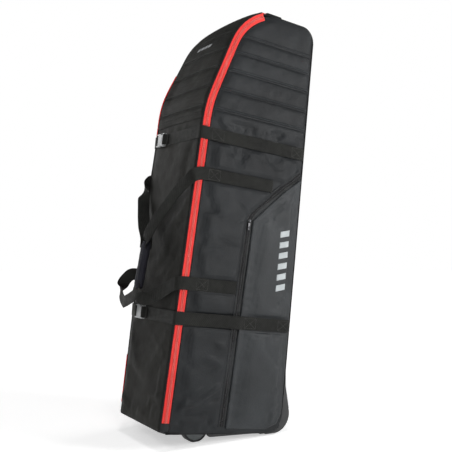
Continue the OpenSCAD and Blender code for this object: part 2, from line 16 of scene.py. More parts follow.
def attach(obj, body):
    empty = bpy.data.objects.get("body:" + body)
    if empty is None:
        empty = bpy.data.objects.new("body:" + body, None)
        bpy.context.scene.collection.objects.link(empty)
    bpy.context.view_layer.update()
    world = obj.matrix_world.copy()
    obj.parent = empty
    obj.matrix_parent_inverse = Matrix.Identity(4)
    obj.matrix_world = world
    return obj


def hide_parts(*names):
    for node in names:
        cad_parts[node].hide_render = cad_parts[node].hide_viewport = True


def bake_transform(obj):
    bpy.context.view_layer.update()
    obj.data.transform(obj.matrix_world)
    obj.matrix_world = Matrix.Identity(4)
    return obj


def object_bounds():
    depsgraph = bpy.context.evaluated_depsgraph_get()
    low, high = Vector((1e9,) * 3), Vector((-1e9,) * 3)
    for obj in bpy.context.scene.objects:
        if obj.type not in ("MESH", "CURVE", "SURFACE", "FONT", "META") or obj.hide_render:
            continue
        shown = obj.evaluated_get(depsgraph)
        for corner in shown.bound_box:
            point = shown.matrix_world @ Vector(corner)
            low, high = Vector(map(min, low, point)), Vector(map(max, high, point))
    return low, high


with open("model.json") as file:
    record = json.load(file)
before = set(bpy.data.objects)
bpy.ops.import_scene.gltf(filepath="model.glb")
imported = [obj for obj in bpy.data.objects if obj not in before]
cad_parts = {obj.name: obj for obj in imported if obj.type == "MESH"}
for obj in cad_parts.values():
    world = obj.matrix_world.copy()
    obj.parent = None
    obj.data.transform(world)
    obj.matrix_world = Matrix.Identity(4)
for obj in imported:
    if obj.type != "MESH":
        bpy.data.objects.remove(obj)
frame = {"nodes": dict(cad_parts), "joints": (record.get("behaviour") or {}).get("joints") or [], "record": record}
cad_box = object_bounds()

# ---- the case's own axes, from the frame ----

RECORD = frame["record"]
JOINTS = {j["name"]: j for j in frame["joints"]}
SOLES = [Vector(m["pos_m"]) for m in RECORD["mounts"] if m["name"].endswith("foot_sole")]
ACROSS_ZIP = JOINTS["left_pull_swing"]["axis"]
LEAN = math.atan2(-ACROSS_ZIP[2], ACROSS_ZIP[1])
COS, SIN = math.cos(LEAN), math.sin(LEAN)
MIDDLE_X = 500 * (SOLES[0].x + SOLES[1].x)
SOLE_Y = 1000 * SOLES[0].y
FOOT_Y, FOOT_Z, FOOT_UP = -265.0, 41.0, 40.0


def place(points):
    """Case axes in mm to the frame in metres."""
    p = np.asarray(points, float)
    y, z = p[..., 1] - FOOT_Y, p[..., 2] - FOOT_Z
    back, up = COS * y + SIN * z + SOLE_Y, COS * z - SIN * y + FOOT_UP
    return np.stack([p[..., 0] + MIDDLE_X, back, up], -1) / 1000


def case_points(node):
    """A CAD node's vertices in the case's axes, in mm."""
    mesh = frame["nodes"][node].data
    p = np.array([v.co for v in mesh.vertices], float) * 1000
    y, z = p[:, 1] - SOLE_Y, p[:, 2] - FOOT_UP
    return np.stack([p[:, 0] - MIDDLE_X, COS * y - SIN * z + FOOT_Y, SIN * y + COS * z + FOOT_Z], -1)


def span(node):
    p = case_points(node)
    return p.min(0), p.max(0)


def ease(t):
    t = np.clip(t, 0, 1)
    return t * t * (3 - 2 * t)


def bump(t, width):
    return np.exp(-(t / width) ** 2)


SIDE = case_points("right_side_panel")
SIDE_LOW, SIDE_TOP = SIDE[:, 2].min(), SIDE[:, 2].max()
WIDE = SIDE[SIDE[:, 2] < SIDE_LOW + 1][:, 0].max()
NARROW = SIDE[SIDE[:, 2] > SIDE_TOP - 1][:, 0].max()


def half_width(z):
    return WIDE + (NARROW - WIDE) * (z - SIDE_LOW) / (SIDE_TOP - SIDE_LOW)


def rim_line():
    """The side panel's front edge from the bottom to the crown, evenly spaced and smoothed."""
    on_face = np.abs(SIDE[:, 0] - half_width(SIDE[:, 2])) < 0.6
    front = SIDE[on_face & (SIDE[:, 1] < -190) & (SIDE[:, 2] > SIDE_LOW + 3)]
    front = front[np.argsort(front[:, 2])][:, 1:]
    length = np.concatenate([[0], np.cumsum(np.linalg.norm(np.diff(front, axis=0), axis=1))])
    s = np.linspace(0, length[-1], 260)
    line = np.stack([np.interp(s, length, front[:, k]) for k in (0, 1)], -1)
    for _ in range(4):
        line[1:-1] = (line[:-2] + line[1:-1] + line[2:]) / 3
    return s, line


RIM_S, RIM = rim_line()
RIM_DIR = np.gradient(RIM, RIM_S, axis=0)
RIM_DIR /= np.linalg.norm(RIM_DIR, axis=1)[:, None]
RIM_END = RIM_S[-1]


def rim(s, out=0.0):
    """y and z of the point at length s along the zip line, moved out from it."""
    y, z = (np.interp(s, RIM_S, RIM[:, k]) for k in (0, 1))
    dy, dz = (np.interp(s, RIM_S, RIM_DIR[:, k]) for k in (0, 1))
    return y - dz * out, z + dy * out


def rim_at(z):
    return np.interp(z, RIM[:, 1], RIM_S)


LID_OUT = 15.0
FOLD_Z = 946.0
ZIP_LOW = rim_at(68.0)
FOLD_S = rim_at(FOLD_Z)
TOP_Z = SIDE_TOP
RIBS = (977.0, 1040.0, 1103.0, 1162.0, 1217.0)
SIDES = (("right", 1), ("left", -1))

# The stuffed case is not square: its far front corner is drawn in, more so towards the bottom.
DRAWN_IN = ((0, 28.0), (100, 25.0), (360, 14.0), (600, 7.0), (720, 3.0), (830, 3.5), (946, 1.5), (1010, -8.0),
            (1065, -15.0), (1125, -9.0), (1185, -4.0), (1250, 0.0))


def slump(p):
    p = np.array(p, float)
    heights, amounts = zip(*DRAWN_IN)
    amount = sum(np.interp(p[..., 2] + d, heights, amounts) for d in (-30, -15, 0, 15, 30)) / 5
    w = ease((-p[..., 0] - 90) / 80) * ease((-p[..., 1] - 180) / 220)
    p[..., 1] += amount * w
    p[..., 0] += 0.25 * amount * w
    return p


def place_soft(p):
    return place(slump(p))


# ---- mesh helpers ----

def new_object(name, points, faces, body, material, smooth=True):
    mesh = bpy.data.meshes.new(name)
    mesh.from_pydata([tuple(p) for p in points], [], faces)
    mesh.materials.append(material)
    mesh.polygons.foreach_set("use_smooth", [smooth] * len(mesh.polygons))
    mesh.update()
    obj = bpy.data.objects.new(name, mesh)
    bpy.context.scene.collection.objects.link(obj)
    if body:
        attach(obj, body)
    return obj


def outward(points, faces):
    """Turns all faces round where the closed mesh they make is inside out."""
    p = np.asarray(points)
    volume = 0.0
    for f in faces:
        for k in range(1, len(f) - 1):
            volume += np.dot(p[f[0]], np.cross(p[f[k]], p[f[k + 1]]))
    return faces if volume > 0 else [tuple(reversed(f)) for f in faces]


def inside(poly, a, b):
    hit = np.zeros(len(a), bool)
    n = len(poly)
    for i in range(n):
        (a0, b0), (a1, b1) = poly[i], poly[(i + 1) % n]
        if b0 != b1:
            hit ^= ((b0 > b) != (b1 > b)) & (a < (a1 - a0) * (b - b0) / (b1 - b0) + a0)
    return hit


def walk(outline, step):
    """The outline with points no further apart than step."""
    pts = []
    for p, q in zip(outline, outline[1:] + outline[:1]):
        n = max(1, int(math.ceil(math.dist(p, q) / step)))
        pts += [(p[0] + (q[0] - p[0]) * k / n, p[1] + (q[1] - p[1]) * k / n) for k in range(n)]
    return pts


def rows_between(low, high, step, fine=0.0, marks=(), reach=0.0):
    """Row positions step apart, and fine apart within reach of the marks."""
    rows, b = [], low + step / 2
    while b < high:
        rows.append(b)
        near = min((abs(b + step / 2 - m) for m in marks), default=math.inf)
        b += fine if near < reach else step
    return rows


def triangulate(outline, rows, step, edge):
    """Triangles over an outline: points at most edge apart round it, and step apart along each row inside."""
    border = walk([tuple(map(float, p)) for p in outline], edge)
    low, high = min(p[0] for p in border), max(p[0] for p in border)
    a, b = [], []
    for k, row in enumerate(rows):
        line = np.arange(low + step * (0.5 + 0.5 * (k % 2)), high, step)
        a.append(line)
        b.append(np.full(len(line), row))
    a, b = np.concatenate(a), np.concatenate(b)
    keep = inside(border, a, b)
    edge_pts = np.array(border)
    for chunk in np.array_split(np.arange(len(a)), max(1, len(a) // 2000)):
        gap = np.hypot(a[chunk, None] - edge_pts[None, :, 0], b[chunk, None] - edge_pts[None, :, 1]).min(1)
        keep[chunk] &= gap > edge * 0.45
    points = [Vector(p) for p in border] + [Vector(p) for p in zip(a[keep], b[keep])]
    out = delaunay_2d_cdt(points, [], [list(range(len(border)))], 1, 1e-5)
    return np.array([tuple(v) for v in out[0]]), [tuple(f) for f in out[2]]


def shell_faces(tris, n):
    """Faces of the closed shell between a sheet and its copy, whose points come n later."""
    edges = {(t[i], t[(i + 1) % 3]): None for t in tris for i in range(3)}
    walls = [(i, j, j + n, i + n) for i, j in edges if (j, i) not in edges]
    return [tuple(reversed(t)) for t in tris] + [tuple(i + n for i in t) for t in tris] + walls


def sheet(name, outline, at, thick, body, material, rows, step=8.0, edge=6.0):
    """A closed sheet over an outline in two coordinates. at(a, b, depth) gives its points in the case."""
    flat, tris = triangulate(outline, rows, step, edge)
    a, b = flat[:, 0], flat[:, 1]
    both = np.concatenate([at(a, b, 0.0), at(a, b, thick)])
    points = place_soft(both)
    return new_object(name, points, outward(points, shell_faces(tris, len(flat))), body, material)


def tube(name, rings, body, material, closed=False, smooth=True):
    """A closed solid through rings of points, given in the frame's metres."""
    k, n = len(rings[0]), len(rings)
    points = np.concatenate(rings)
    faces = []
    for i in range(n if closed else n - 1):
        j = (i + 1) % n
        faces += [(i * k + m, i * k + (m + 1) % k, j * k + (m + 1) % k, j * k + m) for m in range(k)]
    if not closed:
        faces += [tuple(reversed(range(k))), tuple((n - 1) * k + m for m in range(k))]
    return new_object(name, points, outward(points, faces), body, material, smooth)


def rounded_band(width, thick):
    """Half-round edged cross-section of webbing: (across, up) pairs."""
    w, r = width / 2 - thick / 2, thick / 2
    right = [(w + r * math.cos(t), r * math.sin(t)) for t in np.linspace(-math.pi / 2, math.pi / 2, 5)]
    left = [(-x, -y) for x, y in right]
    return right + left


def directions(path):
    """The unit direction of a path at each of its points."""
    d = np.gradient(path, axis=0)
    return d / np.linalg.norm(d, axis=1)[:, None]


def catmull(points, steps):
    """A smooth curve through the points, with so many steps between each two."""
    p = np.asarray(points, float)
    out = []
    for i in range(len(p) - 1):
        a, b, c, d = p[max(i - 1, 0)], p[i], p[i + 1], p[min(i + 2, len(p) - 1)]
        for t in np.arange(steps) / steps:
            out.append(0.5 * (2 * b + (c - a) * t + (2 * a - 5 * b + 4 * c - d) * t * t
                              + (3 * b - a - 3 * c + d) * t ** 3))
    out.append(p[-1])
    return np.array(out)


def ribbon(name, path, upright, width, thick, body, material, put=place_soft):
    """Webbing along a path. upright is the direction its width takes, one for all or one for each point."""
    d = directions(path)
    up = np.broadcast_to(np.asarray(upright, float), path.shape)
    up = up - (up * d).sum(1)[:, None] * d
    up /= np.linalg.norm(up, axis=1)[:, None]
    out = np.cross(up, d)
    rings = [put(p + np.array([u * b + v * c for b, c in rounded_band(width, thick)]))
             for p, u, v in zip(path, up, out)]
    return tube(name, rings, body, material)


def side_strip(name, s_values, profile, sign, body, material):
    """A strip along the zip line on a side face. profile is a loop of (out from line, up from face)."""
    rings = []
    for s in s_values:
        ring = []
        for out, up in profile:
            y, z = rim(s, out)
            ring.append((sign * (half_width(z) + up), y, z))
        rings.append(place_soft(ring))
    return tube(name, rings, body, material)


def stitch_row(name, path, normals, pitch, length=2.6, wide=0.9, put=place_soft):
    """Thread stitches along a path, each a small raised bar."""
    path, normals = np.asarray(path, float), np.asarray(normals, float)
    if normals.ndim == 1:
        normals = np.broadcast_to(normals, path.shape)
    run = np.concatenate([[0], np.cumsum(np.linalg.norm(np.diff(path, axis=0), axis=1))])
    points, faces = [], []

    def along_run(s, values):
        return np.array([np.interp(s, run, values[:, k]) for k in range(3)])

    for s in np.arange(pitch / 2, run[-1], pitch):
        c, n = along_run(s, path), along_run(s, normals)
        e = along_run(s + 0.5, path) - along_run(s - 0.5, path)
        e /= np.linalg.norm(e)
        n /= np.linalg.norm(n)
        w = np.cross(n, e)
        base = len(points)
        for at, high in ((-0.5, -0.3), (-0.28, 0.45), (0.28, 0.45), (0.5, -0.3)):
            for side in (-0.5, 0.5):
                points.append(c + e * at * length + w * side * wide + n * high)
        for side in (-0.5, 0.5):
            points.append(c + w * side * wide - n * 0.4)
        b = base
        faces += [(b, b + 1, b + 3, b + 2), (b + 2, b + 3, b + 5, b + 4), (b + 4, b + 5, b + 7, b + 6),
                  (b, b + 2, b + 4, b + 6, b + 8), (b + 1, b + 9, b + 7, b + 5, b + 3),
                  (b, b + 8, b + 9, b + 1), (b + 6, b + 7, b + 9, b + 8)]
    pts = put(np.array(points))
    new_object(name, pts, outward(pts, faces), "case", THREAD)


BAR_FACES = ((0, 1, 3, 2), (2, 3, 5, 4), (4, 5, 7, 6), (0, 2, 4, 6), (1, 7, 5, 3), (0, 6, 7, 1))


def row_of_bars(name, bars, put, body, mat):
    """Zip teeth in one mesh. Each bar is four pairs of points along its rounded back."""
    points = put([p for bar in bars for p in bar])
    faces = [tuple(8 * k + i for i in face) for k in range(len(bars)) for face in BAR_FACES]
    return new_object(name, points, outward(points, faces), body, mat)


def join_flat(mesh, degrees, weld=False):
    """Dissolves the edges inside flat faces, so that only real edges are rounded."""
    bm = bmesh.new()
    bm.from_mesh(mesh)
    if weld:
        bmesh.ops.remove_doubles(bm, verts=bm.verts, dist=1e-6)
    bmesh.ops.dissolve_limit(bm, angle_limit=math.radians(degrees), verts=bm.verts, edges=bm.edges)
    bm.to_mesh(mesh)
    bm.free()


def round_edges(obj, width, smooth_degrees):
    """Bevels the sharp edges by a width in mm, then shades all but the sharp ones smooth."""
    mod = obj.modifiers.new("round", "BEVEL")
    mod.width = width / 1000
    mod.segments = 3
    mod.limit_method = "ANGLE"
    mod.angle_limit = math.radians(30)
    mod.use_clamp_overlap = True
    graph = bpy.context.evaluated_depsgraph_get()
    mesh = bpy.data.meshes.new_from_object(obj.evaluated_get(graph))
    obj.modifiers.clear()
    obj.data = mesh
    mesh.polygons.foreach_set("use_smooth", [True] * len(mesh.polygons))
    bm = bmesh.new()
    bm.from_mesh(mesh)
    for e in bm.edges:
        e.smooth = len(e.link_faces) == 2 and e.calc_face_angle(0) < math.radians(smooth_degrees)
    bm.to_mesh(mesh)
    bm.free()


def softened(node, width, material, body):
    """A copy of a CAD node with its sharp edges rounded, which stands for the node."""
    mesh = frame["nodes"][node].data.copy()
    mesh.materials.clear()
    mesh.materials.append(material)
    obj = bpy.data.objects.new("shaped_" + node, mesh)
    bpy.context.scene.collection.objects.link(obj)
    join_flat(mesh, 2, weld=True)
    round_edges(obj, width, 40)
    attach(obj, body)
    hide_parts(node)


def prism(name, outline, y0, y1, round_by, body, material, holes=()):
    """A plate drawn as an outline in x and z, through y0 to y1, with rounded edges."""
    flat, tris = triangulate_plain(outline, holes)
    faces_at = [np.stack([flat[:, 0], np.full(len(flat), y), flat[:, 1]], -1) for y in (y0, y1)]
    points = place(np.concatenate(faces_at))
    obj = new_object(name, points, outward(points, shell_faces(tris, len(flat))), None, material)
    join_flat(obj.data, 1)
    round_edges(obj, round_by, 50)
    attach(obj, body)
    return obj


def triangulate_plain(outline, holes):
    """Triangles over an outline with holes, with no points but their corners."""
    loops = [list(outline)] + [list(h) for h in holes]
    points, ids = [], []
    for loop in loops:
        ids.append(list(range(len(points), len(points) + len(loop))))
        points += [Vector(p) for p in loop]
    edges = [(ring[i], ring[(i + 1) % len(ring)]) for ring in ids for i in range(len(ring))]
    out = delaunay_2d_cdt(points, edges, [], 3, 1e-5)
    flat = np.array([tuple(v) for v in out[0]])
    tris = []
    for f in out[2]:
        c = flat[list(f)].mean(0)
        ok = inside(loops[0], c[None, 0], c[None, 1])[0]
        ok &= not any(inside(h, c[None, 0], c[None, 1])[0] for h in loops[1:])
        if ok:
            tris += [(f[0], f[k], f[k + 1]) for k in range(1, len(f) - 1)]
    return flat, tris


def rounded_rect(x0, z0, x1, z1, r, steps=4):
    pts = []
    corners = ((x1 - r, z1 - r, 0), (x0 + r, z1 - r, 90), (x0 + r, z0 + r, 180), (x1 - r, z0 + r, 270))
    for cx, cz, start in corners:
        angles = [math.radians(start + 90 * k / steps) for k in range(steps + 1)]
        pts += [(cx + r * math.cos(a), cz + r * math.sin(a)) for a in angles]
    return pts


# ---- slack cloth by simulation ----

CLOTH_FRAMES = 22


def cloth_field(name, a_span, b_span, cell, at, held, slack, pressure, cap, gravity=0.4):
    """Simulates a slack sheet held at its seams. Returns its move out in mm, as a function of a and b.

    cell is the grid's pitch in mm, slack the share by which the cloth is too long, and cap the most that it
    may move out.
    """
    a_values = np.linspace(*a_span, int((a_span[1] - a_span[0]) / cell) + 1)
    b_values = np.linspace(*b_span, int((b_span[1] - b_span[0]) / cell) + 1)
    a, b = np.meshgrid(a_values, b_values)
    na, nb = len(a_values), len(b_values)
    rest = place(at(a.ravel(), b.ravel(), 0.0))
    out = place(at(a.ravel(), b.ravel(), -10.0)) - rest
    out /= np.linalg.norm(out, axis=1)[:, None]
    rng = np.random.default_rng(7)
    start = rest + out * rng.uniform(-0.0004, 0.0004, len(rest))[:, None]
    quads = [(j * na + i, j * na + i + 1, (j + 1) * na + i + 1, (j + 1) * na + i)
             for j in range(nb - 1) for i in range(na - 1)]
    mesh = bpy.data.meshes.new(name)
    mesh.from_pydata([tuple(p) for p in start], [], quads)
    obj = bpy.data.objects.new(name, mesh)
    bpy.context.scene.collection.objects.link(obj)
    group = obj.vertex_groups.new(name="held")
    weights = held(a.ravel(), b.ravel())
    for i, w in enumerate(weights):
        if w > 0.02:
            group.add([i], float(min(w, 1)), "REPLACE")
    mod = obj.modifiers.new("cloth", "CLOTH")
    c = mod.settings
    c.quality = 6
    c.mass = 0.25
    c.tension_stiffness = c.compression_stiffness = 25
    c.shear_stiffness = 12
    c.bending_stiffness = 0.6
    c.vertex_group_mass = "held"
    c.pin_stiffness = 1
    c.use_dynamic_mesh = False
    c.shrink_min = -slack
    c.use_pressure = True
    c.uniform_pressure_force = pressure
    c.effector_weights.gravity = gravity
    mod.collision_settings.use_collision = False
    scene = bpy.context.scene
    for k in range(1, CLOTH_FRAMES + 1):
        scene.frame_set(k)
    graph = bpy.context.evaluated_depsgraph_get()
    moved = np.array([v.co for v in obj.evaluated_get(graph).data.vertices])
    scene.frame_set(1)
    bpy.data.objects.remove(obj)
    shift = ((moved - rest) * out).sum(1) * 1000
    shift = cap * np.tanh(shift / cap) * (1 - np.clip(weights, 0, 1))
    grid = shift.reshape(nb, na)

    def field(a, b):
        u = np.clip((np.asarray(a) - a_values[0]) / (a_values[1] - a_values[0]), 0, na - 1.001)
        v = np.clip((np.asarray(b) - b_values[0]) / (b_values[1] - b_values[0]), 0, nb - 1.001)
        i, j = u.astype(int), v.astype(int)
        u, v = ease(u - i), ease(v - j)
        return ((grid[j, i] * (1 - u) + grid[j, i + 1] * u) * (1 - v)
                + (grid[j + 1, i] * (1 - u) + grid[j + 1, i + 1] * u) * v)
    return field


def creases(a, b, lines):
    """Sharp folds: each line is (a0, b0, a1, b1, width, height)."""
    total = np.zeros(np.shape(a))
    for a0, b0, a1, b1, width, height in lines:
        length2 = (a1 - a0) ** 2 + (b1 - b0) ** 2
        t = ((a - a0) * (a1 - a0) + (b - b0) * (b1 - b0)) / length2
        d = np.hypot(a - a0 - np.clip(t, 0, 1) * (a1 - a0), b - b0 - np.clip(t, 0, 1) * (b1 - b0))
        total += height * bump(d, width) * np.sin(np.pi * np.clip(t, 0.04, 0.96)) ** 0.6
    return total


def unevenness(a, b, scale, seed):
    """A smooth sum of waves that never repeats over the case."""
    rng = np.random.default_rng(seed)
    total = np.zeros(np.shape(a))
    for _ in range(7):
        angle, phase, size = rng.uniform(0, 6.28), rng.uniform(0, 6.28), scale * rng.uniform(0.6, 1.7)
        total += np.sin((a * math.cos(angle) + b * math.sin(angle)) * 6.28 / size + phase)
    return total / 7


# ---- materials ----

def material(name, build):
    mat = bpy.data.materials.new(name)
    mat.use_nodes = True
    tree = mat.node_tree
    shader = next(n for n in tree.nodes if n.type == "BSDF_PRINCIPLED")
    build(tree, shader)
    return mat


def node(tree, kind, **values):
    n = tree.nodes.new(kind)
    for key, value in values.items():
        if key in n.inputs:
            n.inputs[key].default_value = value
        else:
            setattr(n, key, value)
    return n


def texture_space(tree):
    """The frame's own axes, leaned back with the case."""
    coord = node(tree, "ShaderNodeTexCoord")
    turn = node(tree, "ShaderNodeMapping")
    turn.inputs["Rotation"].default_value = (LEAN, 0, 0)
    tree.links.new(coord.outputs["Object"], turn.inputs["Vector"])
    return turn.outputs["Vector"]


def map_range(tree, value, from_min, from_max, to_min, to_max, kind="LINEAR"):
    n = node(tree, "ShaderNodeMapRange", interpolation_type=kind)
    numbers = {"From Min": from_min, "From Max": from_max, "To Min": to_min, "To Max": to_max}
    for key, number in numbers.items():
        n.inputs[key].default_value = number
    tree.links.new(value, n.inputs["Value"])
    return n.outputs["Result"]


def blotches(tree, vector, scale, low, high, detail=4.0):
    noise = node(tree, "ShaderNodeTexNoise", Scale=scale, Detail=detail)
    tree.links.new(vector, noise.inputs["Vector"])
    return map_range(tree, noise.outputs["Fac"], 0.3, 0.7, low, high)


def mix_colours(tree, factor, dark, light):
    mix = node(tree, "ShaderNodeMix", data_type="RGBA")
    mix.inputs[6].default_value = (*dark, 1)
    mix.inputs[7].default_value = (*light, 1)
    tree.links.new(factor, mix.inputs[0])
    return mix.outputs[2]


def add_bump(tree, shader, height, strength, distance):
    b = node(tree, "ShaderNodeBump", Strength=strength, Distance=distance)
    tree.links.new(height, b.inputs["Height"])
    tree.links.new(b.outputs["Normal"], shader.inputs["Normal"])


def combine(tree, kind, *sockets):
    """Adds or multiplies all the sockets together."""
    first = sockets[0]
    for other in sockets[1:]:
        m = node(tree, "ShaderNodeMath", operation=kind)
        tree.links.new(first, m.inputs[0])
        tree.links.new(other, m.inputs[1])
        first = m.outputs[0]
    return first


def wave(tree, vector, direction, scale, distortion=0.0):
    w = node(tree, "ShaderNodeTexWave", bands_direction=direction, Scale=scale, Distortion=distortion)
    w.inputs["Detail Scale"].default_value = 1.0
    tree.links.new(vector, w.inputs["Vector"])
    return w.outputs["Fac"]


def fabric(name, dark, light, thread=2.0, rough=(0.50, 0.64), sheen=0.06, grain=0.55, gloss=0.2):
    """Woven nylon: fine threads both ways, thread mm apart, with slubs and faint wear patches."""
    def build(tree, shader):
        space = texture_space(tree)
        per_metre = 1000 / thread / 6.28
        weft = wave(tree, space, "Z", per_metre, 0.4)
        warps = [wave(tree, space, d, per_metre, 0.4) for d in ("X", "Y")]
        slub = blotches(tree, space, 260.0, 0.0, 1.0, 3.0)
        height = combine(tree, "ADD", weft, *warps, slub)
        add_bump(tree, shader, height, grain, 0.00035)
        worn = blotches(tree, space, 9.0, 0.0, 1.0, 5.0)
        mixed = combine(tree, "MULTIPLY", worn, blotches(tree, space, 420.0, 0.55, 1.0, 2.0))
        tree.links.new(mix_colours(tree, mixed, dark, light), shader.inputs["Base Color"])
        tree.links.new(blotches(tree, space, 30.0, *rough), shader.inputs["Roughness"])
        shader.inputs["Sheen Weight"].default_value = sheen
        shader.inputs["Sheen Roughness"].default_value = 0.45
        shader.inputs["Specular IOR Level"].default_value = gloss
    return material(name, build)


def webbing_material(name, dark, light):
    """Woven webbing: a coarse ribbed herringbone."""
    def build(tree, shader):
        space = texture_space(tree)
        ribs = [wave(tree, space, d, 130.0, 1.2) for d in ("X", "Y", "Z")]
        twill = wave(tree, space, "DIAGONAL", 90.0, 0.6)
        add_bump(tree, shader, combine(tree, "ADD", *ribs, twill), 0.7, 0.0005)
        worn = combine(tree, "MULTIPLY", blotches(tree, space, 14.0, 0.2, 1.0), twill)
        tree.links.new(mix_colours(tree, worn, dark, light), shader.inputs["Base Color"])
        tree.links.new(blotches(tree, space, 60.0, 0.55, 0.75), shader.inputs["Roughness"])
        shader.inputs["Sheen Weight"].default_value = 0.05
        shader.inputs["Specular IOR Level"].default_value = 0.2
    return material(name, build)


def moulded(name, dark, light, rough, grain=1.0, coat=0.0):
    """Moulded plastic or rubber with a spark-eroded grain."""
    def build(tree, shader):
        space = texture_space(tree)
        fine = blotches(tree, space, 900.0, 0.0, 1.0, 2.0)
        add_bump(tree, shader, fine, 0.35 * grain, 0.0002)
        tone = blotches(tree, space, 22.0, 0.0, 1.0, 5.0)
        tree.links.new(mix_colours(tree, tone, dark, light), shader.inputs["Base Color"])
        tree.links.new(blotches(tree, space, 70.0, rough * 0.85, rough * 1.15), shader.inputs["Roughness"])
        shader.inputs["Coat Weight"].default_value = coat
    return material(name, build)


def metal(name, dark, light, rough):
    """Cast or drawn metal with a fine brushed grain."""
    def build(tree, shader):
        space = texture_space(tree)
        brushed = wave(tree, space, "X", 900.0, 3.0)
        add_bump(tree, shader, brushed, 0.15, 0.0001)
        tone = blotches(tree, space, 60.0, 0.0, 1.0)
        tree.links.new(mix_colours(tree, tone, dark, light), shader.inputs["Base Color"])
        tree.links.new(blotches(tree, space, 150.0, rough * 0.8, rough * 1.3), shader.inputs["Roughness"])
        shader.inputs["Metallic"].default_value = 1.0
    return material(name, build)


SIDE_CLOTH = fabric("side_cloth", (0.0055, 0.0064, 0.0074), (0.0155, 0.0178, 0.020), 1.6, (0.44, 0.58),
                    gloss=0.22)
# Painted highlight: the tuck cords' cloth is lighter than the side and front cloth, so that the tucks' crests look
# lit.
TUCK_HIGHLIGHT_CLOTH = fabric("tuck_highlight_cloth", (0.016, 0.019, 0.021), (0.034, 0.039, 0.042), 1.6)
TUCK_HIGHLIGHT_FRONT = fabric("tuck_highlight_front", (0.011, 0.012, 0.011), (0.024, 0.026, 0.024), 1.6)
FRONT_CLOTH = fabric("front_cloth", (0.0065, 0.0062, 0.005), (0.0165, 0.016, 0.0132), 1.6, (0.54, 0.68), 0.02,
                     gloss=0.16)
# Painted light: the pocket's nylon has a lighter tone than the side cloth, standing for the light its bulge
# catches from the key lamp.
POCKET_CLOTH_PAINTED_LIGHT = fabric("pocket_cloth", (0.0105, 0.0125, 0.014), (0.027, 0.0308, 0.034), 1.6, (0.42, 0.54),
                      gloss=0.30)
LINING = fabric("lining", (0.07, 0.072, 0.078), (0.11, 0.112, 0.12), 1.2, (0.6, 0.8), 0.06)
WEBBING = webbing_material("black_webbing", (0.004, 0.004, 0.0034), (0.019, 0.020, 0.0165))
WEBBING_LIGHT = webbing_material("olive_webbing", (0.014, 0.014, 0.0105), (0.040, 0.040, 0.030))
RED_TAPE = fabric("red_tape", (0.74, 0.034, 0.030), (0.90, 0.066, 0.056), 1.1, (0.5, 0.7), 0.05, 0.6)
RED_COIL = moulded("red_coil", (0.78, 0.105, 0.09), (0.90, 0.17, 0.145), 0.4)
BLACK_TAPE = fabric("black_tape", (0.003, 0.003, 0.0035), (0.009, 0.009, 0.010), 1.1, (0.5, 0.7), 0.05, 0.6)
BLACK_COIL = moulded("black_coil", (0.012, 0.012, 0.013), (0.030, 0.030, 0.032), 0.3)
THREAD = moulded("thread", (0.030, 0.031, 0.029), (0.075, 0.077, 0.070), 0.6)
GRIP_CLOTH = fabric("grip_cloth", (0.009, 0.009, 0.014), (0.020, 0.020, 0.029), 1.3, (0.55, 0.75), 0.08)
BUCKLE = moulded("buckle_grey", (0.32, 0.33, 0.335), (0.42, 0.43, 0.435), 0.34, 0.6, 0.15)
BUCKLE_BLACK = moulded("buckle_black", (0.012, 0.012, 0.013), (0.03, 0.03, 0.032), 0.4)
BASE_PLASTIC = moulded("base_plastic", (0.018, 0.018, 0.020), (0.040, 0.041, 0.043), 0.5)
GREY_PLASTIC = moulded("grey_plastic", (0.085, 0.095, 0.098), (0.13, 0.142, 0.146), 0.46)
HOUSING_PLASTIC = moulded("housing_plastic", (0.010, 0.0105, 0.011), (0.024, 0.025, 0.026), 0.48)
FOOT_RUBBER = moulded("foot_rubber", (0.005, 0.005, 0.006), (0.016, 0.016, 0.018), 0.62)
TYRE = moulded("tyre", (0.012, 0.012, 0.013), (0.030, 0.030, 0.032), 0.55)
HUB = moulded("hub", (0.11, 0.115, 0.12), (0.17, 0.175, 0.18), 0.38, 0.7)
BOARD = moulded("board", (0.06, 0.06, 0.06), (0.10, 0.10, 0.10), 0.6)
STEEL = metal("steel", (0.42, 0.42, 0.43), (0.62, 0.62, 0.63), 0.3)
NICKEL = metal("nickel", (0.55, 0.55, 0.55), (0.72, 0.72, 0.73), 0.22)
GUNMETAL = metal("gunmetal", (0.03, 0.03, 0.032), (0.08, 0.08, 0.083), 0.36)
PULL_RED = moulded("pull_red", (0.50, 0.03, 0.025), (0.68, 0.05, 0.04), 0.45)
PRINT = moulded("print_grey", (0.36, 0.39, 0.40), (0.46, 0.49, 0.50), 0.55)
BADGE = moulded("badge_grey", (0.26, 0.27, 0.28), (0.36, 0.37, 0.38), 0.4)


def floor_finish(tree, shader):
    """Pale floor that glows, more towards its rim, where it meets the backdrop: painted light from a surface that
    is no lamp.
    """
    space = texture_space(tree)
    tone = mix_colours(tree, blotches(tree, space, 1.2, 0.0, 1.0), (0.88, 0.88, 0.88), (0.92, 0.92, 0.92))
    tree.links.new(tone, shader.inputs["Base Color"])
    shader.inputs["Roughness"].default_value = 0.8
    shader.inputs["Specular IOR Level"].default_value = 0.0
    # Painted light: the floor glows by its own emission, from 0.5 near the case to 0.98 at its rim, and so also
    # lights the case from below.
    far = node(tree, "ShaderNodeVectorMath", operation="LENGTH")
    tree.links.new(space, far.inputs[0])
    rise = map_range(tree, far.outputs["Value"], 0.8, 5.0, 0.50, 0.98, "SMOOTHSTEP")
    shader.inputs["Emission Color"].default_value = (1, 1, 1, 1)
    tree.links.new(rise, shader.inputs["Emission Strength"])


def backdrop_finish(tree, shader):
    shader.inputs["Base Color"].default_value = (0, 0, 0, 1)
    shader.inputs["Specular IOR Level"].default_value = 0.0
    shader.inputs["Emission Color"].default_value = (1, 1, 1, 1)
    shader.inputs["Emission Strength"].default_value = 1.0


